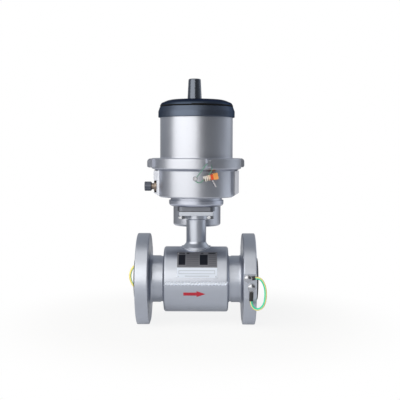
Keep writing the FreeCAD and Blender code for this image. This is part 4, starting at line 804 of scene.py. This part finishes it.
@dataclass
class FlowTube:
    """The lined tube in its welded coil housing, with the flanges and the nameplate."""

    shell_half: float = 0.0662
    seam_bead: WeldBead = WeldBead(0.0044)
    seam_half: float = 0.0617
    seam_out: float = 0.0672
    seam_height: float = 0.0004
    ring_bead: WeldBead = FilletBead(0.0019)
    ring_lift: float = 0.0003
    hub_radius: float = 0.0472
    flange_back: float = 0.0955
    flange_fillet: float = 0.0085
    flange_hub: float = 0.0483
    arrow_tail: float = -0.0251
    arrow_neck: float = 0.0017
    arrow_tip: float = 0.0196
    arrow_height: float = -0.021
    arrow_shaft: float = 0.0033
    arrow_barb: float = 0.0062
    arrow_steps: int = 8
    decal_radius: float = 0.06802
    decal_thick: float = 0.00015
    rivet_radius: float = 0.0011
    rivet_crown: float = 0.6
    rivet_root: float = 0.0004
    rivet_inset: float = 0.0024
    plate_lift: float = 0.00105

    def build(self) -> None:
        """Dress the nodes and add the welds, the arrow and the rivets."""
        dress(TUBE_PAINT, "housing_upper", "housing_lower", "inlet_flange", "outlet_flange")
        dress(TUBE_STEEL, "measuring_tube")
        dress(STEEL, "electrodes", "electrode_nuts")
        dress(LINER_RUBBER, "liner")
        dress(COPPER, "coils")
        dress(IRON, "cores", "yoke")
        dress(BUSH_PLASTIC, "electrode_bushes")
        dress(PLATE_STEEL, "nameplate")
        self.seam_beads()
        self.ring_beads()
        self.flange_fillets()
        self.arrow()
        self.rivets()

    def seam_beads(self) -> None:
        """Make the beads along the front and rear seams."""
        mesh = Mesh()
        for side in (-1, 1):
            def path(share: float) -> Station:
                """Return the station at a share of the seam."""
                along = self.seam_half * (1 - 2 * share) * side
                middle = Vector((along, side * self.seam_out, self.seam_height))
                return middle, Vector(UP), Vector((0, side, 0))

            self.seam_bead.add(mesh, path, 2 * self.seam_half)
        # the seam beads take the lighter copy of the weld paint, a painted highlight
        mesh.piece("seam_beads", LIT_SEAM_PAINT, slot="weld_paint", replaces=["seam_welds"], crease=50)

    def ring_beads(self) -> None:
        """Make the fillet welds between the housing's ends and the flange hubs."""
        mesh, lift = Mesh(), self.ring_lift
        for side in (-1, 1):
            def path(share: float) -> Station:
                """Return the station at a share of the turn."""
                spot = on_circle(1.0, share)
                way, out = Vector((side, 0, 0)), Vector((0, spot.x, spot.y))
                return out * (self.hub_radius + lift) + way * (self.shell_half + lift), way, out

            self.ring_bead.add(mesh, path, FULL_TURN * self.hub_radius, closed=True)
        mesh.piece("ring_beads", WELD_PAINT, slot="weld_paint", crease=50)

    def flange_fillets(self) -> None:
        """Make the dressed fillet welds between the flanges and their hubs."""
        mesh, size, low = Mesh(), self.flange_fillet, self.flange_hub
        arc = [(low + size * (1 - math.sin(angle)), size * (1 - math.cos(angle))) for angle in quarter(12)]
        for side in (-1, 1):
            seat = standing((side * self.flange_back, 0, 0), (-side, 0, 0))
            mesh.turned([(low, 0), *arc, (low, 0)], seat, 96)
        mesh.piece("flange_fillets", TUBE_PAINT, slot="weld_paint")

    def on_shell(self, along: float, height: float) -> Vector:
        """Return a point of the decal's surface on the front of the housing."""
        return Vector((along, -math.sqrt(self.decal_radius ** 2 - height ** 2), height))

    def arrow(self) -> None:
        """Make the flow arrow that is laid on the housing."""
        stations = [(self.arrow_tail, self.arrow_shaft), (self.arrow_neck, self.arrow_shaft),
                    (self.arrow_neck, self.arrow_barb), (self.arrow_tip, 0.0)]
        rows, shares = [], [step / self.arrow_steps for step in range(self.arrow_steps + 1)]
        for (start, low), (end, high) in zip(stations, stations[1:]):
            for share in shares:
                along, half = start + (end - start) * share, low + (high - low) * share
                rows.append([self.on_shell(along, self.arrow_height + half * (2 * place - 1))
                             for place in shares])
        mesh = Mesh()
        mesh.skin(rows, closed=False)
        solid = mesh.piece("flow_arrow", ARROW_RED).modifiers.new("thickness", "SOLIDIFY")
        solid.thickness = self.decal_thick
        solid.offset = 0.0

    def rivets(self) -> None:
        """Make the four rivets of the nameplate."""
        low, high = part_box("nameplate")
        mesh, size, inset = Mesh(), self.rivet_radius, self.rivet_inset
        dome = [(size * math.cos(angle), size * self.rivet_crown * math.sin(angle)) for angle in quarter(6)]
        for along in (low.x + inset, high.x - inset):
            for height in (low.z + inset, high.z - inset):
                depth = math.sqrt((SHELL_RADIUS + self.plate_lift) ** 2 - height ** 2)
                seat = standing((along, -depth, height), (0, -depth, height))
                mesh.turned([(size, -self.rivet_root), *dome], seat, 16)
        mesh.piece("nameplate_rivets", STEEL, slot="stainless")


@dataclass
class NeckAndBase:
    """The neck with its plate, and the adapter that is bolted on it."""

    flare_radius: float = 0.0286
    foot_bead: WeldBead = FilletBead(0.0021)
    foot_lift: Span = (0.0003, 0.0002)
    bolt: Screw = Screw(Head.HEXAGON, width=0.013, height=0.0053, shank=0.004, length=0.024)
    bolt_pitch: float = 0.058
    bolt_seat: float = 0.133
    washer_play: float = 0.00015
    washer_edge: float = 0.0003
    washer_radius: float = 0.0075
    washer_thick: float = 0.0015

    def build(self) -> None:
        """Dress the nodes and add the weld, bolts and washers."""
        dress(TUBE_PAINT, "neck")
        dress(SHADED_FOOT_PAINT, "base_adapter")
        dress(SEAL_RUBBER, "neck_gasket")
        dress(STEEL, "adapter_screws")
        self.foot_weld()
        self.bolts()

    def foot_weld(self) -> None:
        """Make the weld where the neck's flare meets the housing."""
        def path(share: float) -> Station:
            """Return the station at a share of the turn."""
            out = on_circle(1.0, share)
            spot = out * (self.flare_radius + self.foot_lift[0])
            spot.z = math.sqrt(SHELL_RADIUS ** 2 - spot.y ** 2) + self.foot_lift[1]
            return spot, out, Vector((0, spot.y, spot.z)).normalized()

        mesh = Mesh()
        self.foot_bead.add(mesh, path, FULL_TURN * self.flare_radius, closed=True)
        mesh.piece("foot_bead", WELD_PAINT, slot="weld_paint", crease=50)

    def bolts(self) -> None:
        """Make the bolts and washers under the plate's corners."""
        bolts, washers = Mesh(), Mesh()
        inner, outer = self.bolt.shank + self.washer_play, self.washer_radius
        thick, edge = self.washer_thick, self.washer_edge
        ring = [(inner, 0), (outer - edge, 0), (outer, edge), (outer, thick - edge), (outer - edge, thick),
                (inner, thick), (inner, 0)]
        half = self.bolt_pitch / 2
        for across in (-half, half):
            for deep in (-half, half):
                spot = (across, deep, self.bolt_seat)
                self.bolt.add(bolts, standing(spot, (0, 0, -1)))
                washers.turned(ring, standing(spot), 40)
        bolts.piece("plate_bolt_set", BOLT_STEEL, slot="stainless", replaces=["plate_bolts"])
        washers.piece("plate_washer_set", BOLT_STEEL, slot="stainless", replaces=["plate_washers"])


@dataclass
class Transmitter:
    """The cast housings, and the canister behind them."""

    canister_axis: float = 0.139
    cover_top: float = 0.2195
    cover_circle: float = 0.046
    cover_screw: Screw = Screw(Head.SOCKET, width=0.0084, height=0.003, shank=0.0025, length=0.007)

    def build(self) -> None:
        """Dress the nodes and add the screws of the canister's cover."""
        dress(GREY_PAINT, "pot_housing", "upper_can", "canister_body", "canister_cover")
        dress(SEAL_RUBBER, "housing_seal")
        dress(STEEL, "saddle_screws")
        dress(CELL, "canister_cells")
        mesh = Mesh()
        for step in range(4):
            spot = on_circle(self.cover_circle, step / 4, self.cover_top)
            spot.y += self.canister_axis
            self.cover_screw.add(mesh, standing(spot))
        mesh.piece("cover_screw_set", BOLT_STEEL, slot="stainless", replaces=["cover_screws"])


@dataclass
class Port:
    """The service port on the left pad and its cap."""

    def build(self) -> None:
        """Dress the connector and its cap."""
        dress(BRASS, "port_connector")
        dress(CAP_PLASTIC, "port_cap")


@dataclass
class Lid:
    """The dark band, the hinged lid and the antenna on it."""

    skirt_drop: float = 0.0154
    skirt_radius: float = 0.072
    seal_radius: float = 0.0754
    seal_height: float = 0.0036
    # size and place of the black block in the lid's notch, which is painted shade and not a part
    shade_block_x: Span = (-0.0088, 0.0198)
    shade_block_height: float = 0.004
    shade_block_deep: float = 0.004
    shade_block_front: float = 0.0744
    shade_block_steps: int = 24

    def build(self) -> None:
        """Dress the band, the lid and what they carry, and make the lid's seal with a black block of painted
        shade in its notch.
        """
        dress(DARK_PAINT, "lid_band")
        dress(LID_PAINT, "lid")
        dress(STUB_PLASTIC, "antenna_stub")
        dress(STEEL, "antenna_nut", "hinge_pin")
        dress(GLASS, "display_window")
        dress(RING_METAL, "window_ring")
        self.seal()

    def seal(self) -> None:
        """Make the black seal round the lid's skirt, and a black block in the lid's notch that stands for
        its shade.
        """
        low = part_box("lid")[1].z - self.skirt_drop
        inner, outer, high = self.skirt_radius, self.seal_radius, self.seal_height
        bead = (inner + outer) / 2
        ring = [(inner, 0), (bead, 0), (outer, high / 3), (outer, high * 2 / 3), (bead, high), (inner, high),
                (inner, 0)]
        mesh = Mesh()
        mesh.turned(ring, standing((0, 0, low)), 160)
        # painted shade: a black block fills the notch in front of the skirt
        columns, (left, right) = [], self.shade_block_x
        for step in range(self.shade_block_steps + 1):
            along = left + (right - left) * step / self.shade_block_steps
            front = -math.sqrt(self.shade_block_front ** 2 - along ** 2)
            back = front + self.shade_block_deep
            section = ((front, 0), (front, self.shade_block_height), (back, self.shade_block_height), (back, 0))
            columns.append([Vector((along, deep, low + rise)) for deep, rise in section])
        mesh.skin(columns, caps=True)
        mesh.piece("lid_seal_and_shade_block", SEAL_RUBBER, Body.LID, slot="seal_rubber")


@dataclass
class Interior:
    """What the housings hold and what shows through the window."""

    button_radius: float = 0.0042
    button_height: float = 0.0012
    button_middle: float = 0.0002
    button_row: float = -0.034
    button_pitch: float = 0.021

    def build(self) -> None:
        """Dress the inner nodes and add the buttons beside the screen."""
        dress(TRAY_PLASTIC, "battery_tray", "display_bezel")
        dress(CELL, "battery_cells")
        dress(POST_METAL, "frame_posts", "display_posts")
        dress(BOARD, "main_board", "display_board")
        dress(TERMINAL, "terminal_blocks")
        dress(SCREEN, "display_module")
        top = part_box("display_bezel")[1].z
        radius, high, bevel = self.button_radius, self.button_height, self.button_height / 3
        profile = [(radius, 0), (radius, high - bevel), (radius - bevel, high), (self.button_middle, high)]
        mesh = Mesh()
        for place in (-1, 0, 1):
            mesh.turned(profile, standing((place * self.button_pitch, self.button_row, top)), 32)
        mesh.piece("bezel_buttons", MARK_WHITE, slot="tray_plastic")


@dataclass
class Seal:
    """The seal on the lower housing, with its screw and its wires."""

    screw: Screw = Screw(Head.SOCKET, width=0.0092, height=0.0032, shank=0.002, length=0.007)
    screw_side: float = -0.0015
    screw_height: float = 0.2115
    wire_radius: float = 0.00075
    wire_length: float = 0.0733
    wire_route: Sequence[Point] = (
        (0.0017, -0.0818, 0.2147), (0.0054, -0.0862, 0.2198), (0.0116, -0.0934, 0.2274),
        (0.0162, -0.0966, 0.235), (0.0209, -0.096, 0.241), (0.0294, -0.0935, 0.2415),
        (0.0316, -0.0934, 0.235), (0.0308, -0.0924, 0.2276), (0.0278, -0.0874, 0.2228),
        (0.0258, -0.0808, 0.219))
    tie_route: Sequence[Point] = (
        (-0.0008, -0.082, 0.2069), (0.002, -0.0828, 0.2044), (0.0068, -0.084, 0.2034),
        (0.0114, -0.0846, 0.2054), (0.0151, -0.0839, 0.2098))

    def build(self) -> None:
        """Dress the seal and make its screw and wires."""
        dress(SEAL_CLEAR, "seal_body")
        dress(SEAL_ORANGE, "seal_insert")
        dress(SEAL_TAIL, "seal_tail")
        seat = (self.screw_side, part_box("seal_screw")[0].y + self.screw.height, self.screw_height)
        mesh = Mesh()
        self.screw.add(mesh, standing(seat, (0, -1, 0)))
        mesh.piece("seal_screw_head", SEAL_STEEL, slot="stainless", replaces=["seal_screw"])
        wire = cord_curve("seal_wire_coated", self.wire_route, self.wire_radius, SEAL_WIRE)
        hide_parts("seal_wire")
        tie = cord_curve("seal_tie_coated", self.tie_route, self.wire_radius, SEAL_WIRE)
        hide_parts("seal_tie")


@dataclass
class EarthStraps:
    """The earth straps of both flanges: lugs, screws, sleeves and wires."""

    wire_radius: float = 0.0026
    front_length: float = 0.1108
    rear_length: float = 0.1203
    upper_lug: Point = (0.103, -0.0938, 0.015)
    lower_lug: Point = (0.1105, -0.0938, -0.0025)
    screw: Screw = Screw(Head.HEXAGON, width=0.013, height=0.0055, shank=0.004, length=0.018)
    front_route: Sequence[Point] = (
        (0.113398, -0.0966, 0.016461), (0.123597, -0.0966, 0.017895), (0.1316, -0.0976, 0.0118),
        (0.1372, -0.0986, -0.0011), (0.1382, -0.0992, -0.0176), (0.1358, -0.0994, -0.0343),
        (0.128, -0.0992, -0.044), (0.1176, -0.0984, -0.0452), (0.109373, -0.0966, -0.03478),
        (0.109732, -0.0966, -0.024487))
    rear_route: Sequence[Point] = (
        (-0.113398, 0.0966, 0.016461), (-0.123597, 0.0966, 0.017895), (-0.134, 0.0976, 0.0155),
        (-0.1435, 0.0986, 0.0055), (-0.1483, 0.0992, -0.009), (-0.1455, 0.0994, -0.024),
        (-0.137, 0.0992, -0.036), (-0.127, 0.0986, -0.0424), (-0.1165, 0.098, -0.0424),
        (-0.109373, 0.0966, -0.03478), (-0.109732, 0.0966, -0.024487))

    def build(self) -> None:
        """Dress the lugs and sleeves and make the screws and wires."""
        dress(TINNED, "strap_lugs")
        dress(SLEEVE, "strap_sleeves")
        mesh = Mesh()
        for turn in (1, -1):
            for x, y, z in (self.upper_lug, self.lower_lug):
                self.screw.add(mesh, standing((turn * x, turn * y, z), (0, -turn, 0)))
        mesh.piece("strap_screw_set", BOLT_STEEL, slot="stainless", replaces=["strap_screws"])
        for side, route, length, finish in (("front", self.front_route, self.front_length, FRONT_STRAP),
                                            ("rear", self.rear_route, self.rear_length, REAR_STRAP)):
            wire = cord_curve("strap_insulation_" + side, route, self.wire_radius, finish)
            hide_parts("strap_wire_" + side)


# Studio


@dataclass(frozen=True)
class Softbox:
    """A soft light that faces a point."""

    name: str
    place: Point
    size: Span
    power: float
    colour: Colour
    aim: Point = (0.0, 0.0, 0.17)

    def hang(self) -> None:
        """Hang the light in the scene."""
        data = bpy.data.lights.new(self.name, "AREA")
        data.shape = "RECTANGLE"
        data.size, data.size_y = self.size
        data.energy, data.color = self.power, self.colour
        lamp = added(self.name, data)
        lamp.location = self.place
        lamp.rotation_euler = (Vector(self.aim) - Vector(self.place)).to_track_quat("-Z", "Y").to_euler()
        lamp.visible_camera = False


@dataclass
class Studio:
    """Pale floor, world, soft lights and the camera."""

    floor_half: float = 12.0
    floor_pale: Colour = (0.86, 0.86, 0.86)
    floor_fade: Span = (0.2, 0.5)
    shadow_share: float = 0.14
    gloss_share: float = 0.48
    gloss_fade: Span = (0.7, 1.8)
    gloss_drop: float = 0.85
    right_fade: Span = (0.06, 0.2)
    right_drop: float = 0.3
    under_fade: Span = (-0.06, -0.02)
    under_drop: float = 0.5
    ambient: float = 0.2
    mirror: float = 0.13
    behind_fade: Span = (-0.85, 0.5)
    behind_gain: float = 0.36
    side_fade: Span = (0.5, 1.0)
    side_gain: float = 0.05
    lights: tuple[Softbox, ...] = (
        Softbox("key", (-1.11, -1.54, 0.95), (3.3, 2.04), 53.0, WARM_LIGHT, (0.0, 0.0, 0.95)),
        Softbox("crown", (-0.57, -0.75, 1.98), (2.8, 1.3), 14.0, WARM_LIGHT),
        Softbox("fill", (2.1, 1.3, 1.2), (1.6, 2.0), 6.0, COOL_LIGHT),
        Softbox("low", (0.6, 0.1, 0.11), (0.5, 0.2), 0.26, COOL_LIGHT))
    camera_place: Point = (0.0186, -1.65, 0.2685)
    camera_turn: Point = (86.4, -0.15, 0.39)
    lens: float = 71.6
    clip_start: float = 0.05

    def build(self) -> None:
        """Build the stage, the lights and the camera."""
        self.floor()
        self.world()
        for light in self.lights:
            light.hang()
        self.camera()
        bpy.context.scene.view_settings.view_transform = "Standard"

    def floor(self) -> None:
        """Make a white floor that keeps the object's shadow."""
        height, half = CAD_BOUNDS[0][2], self.floor_half
        corners = [(x * half, y * half, height) for x, y in ((-1, -1), (1, -1), (1, 1), (-1, 1))]
        mesh = bpy.data.meshes.new("floor")
        mesh.from_pydata(corners, [], [[0, 1, 2, 3]])
        material = bpy.data.materials.new("floor")
        tree = Tree(material)
        reach = tree.distance((0.0, 0.0, height))
        near = 1 - reach.rise(*self.floor_fade)
        camera = tree.make("ShaderNodeLightPath", output="Is Camera Ray")
        right = tree.along("X").rise(*self.right_fade) * self.right_drop
        under = tree.along("Y").rise(*self.under_fade) * near * self.under_drop
        gloss = (1 - near * self.gloss_share) * (1 - right) * (1 - under)
        shown = camera * (1 - near * self.shadow_share) + (self.seen(tree) - camera) * gloss
        dim = (1 - camera) * reach.rise(*self.gloss_fade) * self.gloss_drop
        glow = {"Color": tree.mix(dim, WHITE, BLACK), "Strength": 1.0}
        pale = {"Color": tree.tint(self.floor_pale, 0.99 + tree.noise(30.0) * 0.02)}
        connect(tree, tree.make("ShaderNodeMixShader", None, {
            0: tree.math("MINIMUM", shown, 1.0), 1: tree.make("ShaderNodeBsdfDiffuse", None, pale),
            2: tree.make("ShaderNodeEmission", None, glow)}))
        mesh.materials.append(material)
        floor = added("floor", mesh)

    @staticmethod
    def seen(tree: Tree) -> Term:
        """Return 1 for rays from the camera, from gloss and through glass."""
        camera = tree.make("ShaderNodeLightPath", output="Is Camera Ray")
        glossy = tree.make("ShaderNodeLightPath", output="Is Glossy Ray")
        through = tree.make("ShaderNodeLightPath", output="Is Transmission Ray")
        return camera + glossy + through

    def world(self) -> None:
        """Make a white background that lights the object softly."""
        world = bpy.data.worlds.new("studio")
        bpy.context.scene.world = world
        tree = Tree(world)
        way = tree.make("ShaderNodeTexCoord", output="Generated")
        ahead = tree.make("ShaderNodeSeparateXYZ", inputs={0: way}, output="Y").rise(*self.behind_fade)
        right = tree.make("ShaderNodeSeparateXYZ", inputs={0: way}, output="X").rise(*self.side_fade)
        mirror = self.mirror + ahead * self.behind_gain + right * self.side_gain
        camera = tree.make("ShaderNodeLightPath", output="Is Camera Ray")
        gloss = tree.math("MINIMUM", self.seen(tree) - camera, 1.0)
        soft, shine, white = (
            tree.make("ShaderNodeBackground", None, {"Color": colour, "Strength": strength})
            for colour, strength in ((COOL_LIGHT, self.ambient), (COOL_LIGHT, mirror), (WHITE, 1.0)))
        lit = tree.make("ShaderNodeMixShader", None, {0: gloss, 1: soft, 2: shine})
        shader = tree.make("ShaderNodeMixShader", None, {0: camera, 1: lit, 2: white})
        connect(tree, shader, "ShaderNodeOutputWorld")

    def camera(self) -> None:
        """Set up the camera at the photographer's place."""
        data = bpy.data.cameras.new("camera")
        data.lens = self.lens
        data.clip_start = self.clip_start
        camera = added("camera", data)
        camera.location = self.camera_place
        camera.rotation_euler = [math.radians(angle) for angle in self.camera_turn]
        bpy.context.scene.camera = camera


def main() -> None:
    """Build each sub-assembly in order."""
    logging.basicConfig(level=logging.INFO, format="%(name)s: %(message)s")
    for kind in (Studio, EarthStraps, Seal, FlowTube, NeckAndBase, Transmitter, Port, Lid, Interior):
        kind().build()
        LOG.info("built %s", kind.__name__)
    LOG.info("size written")


if __name__ == "__main__":
    main()
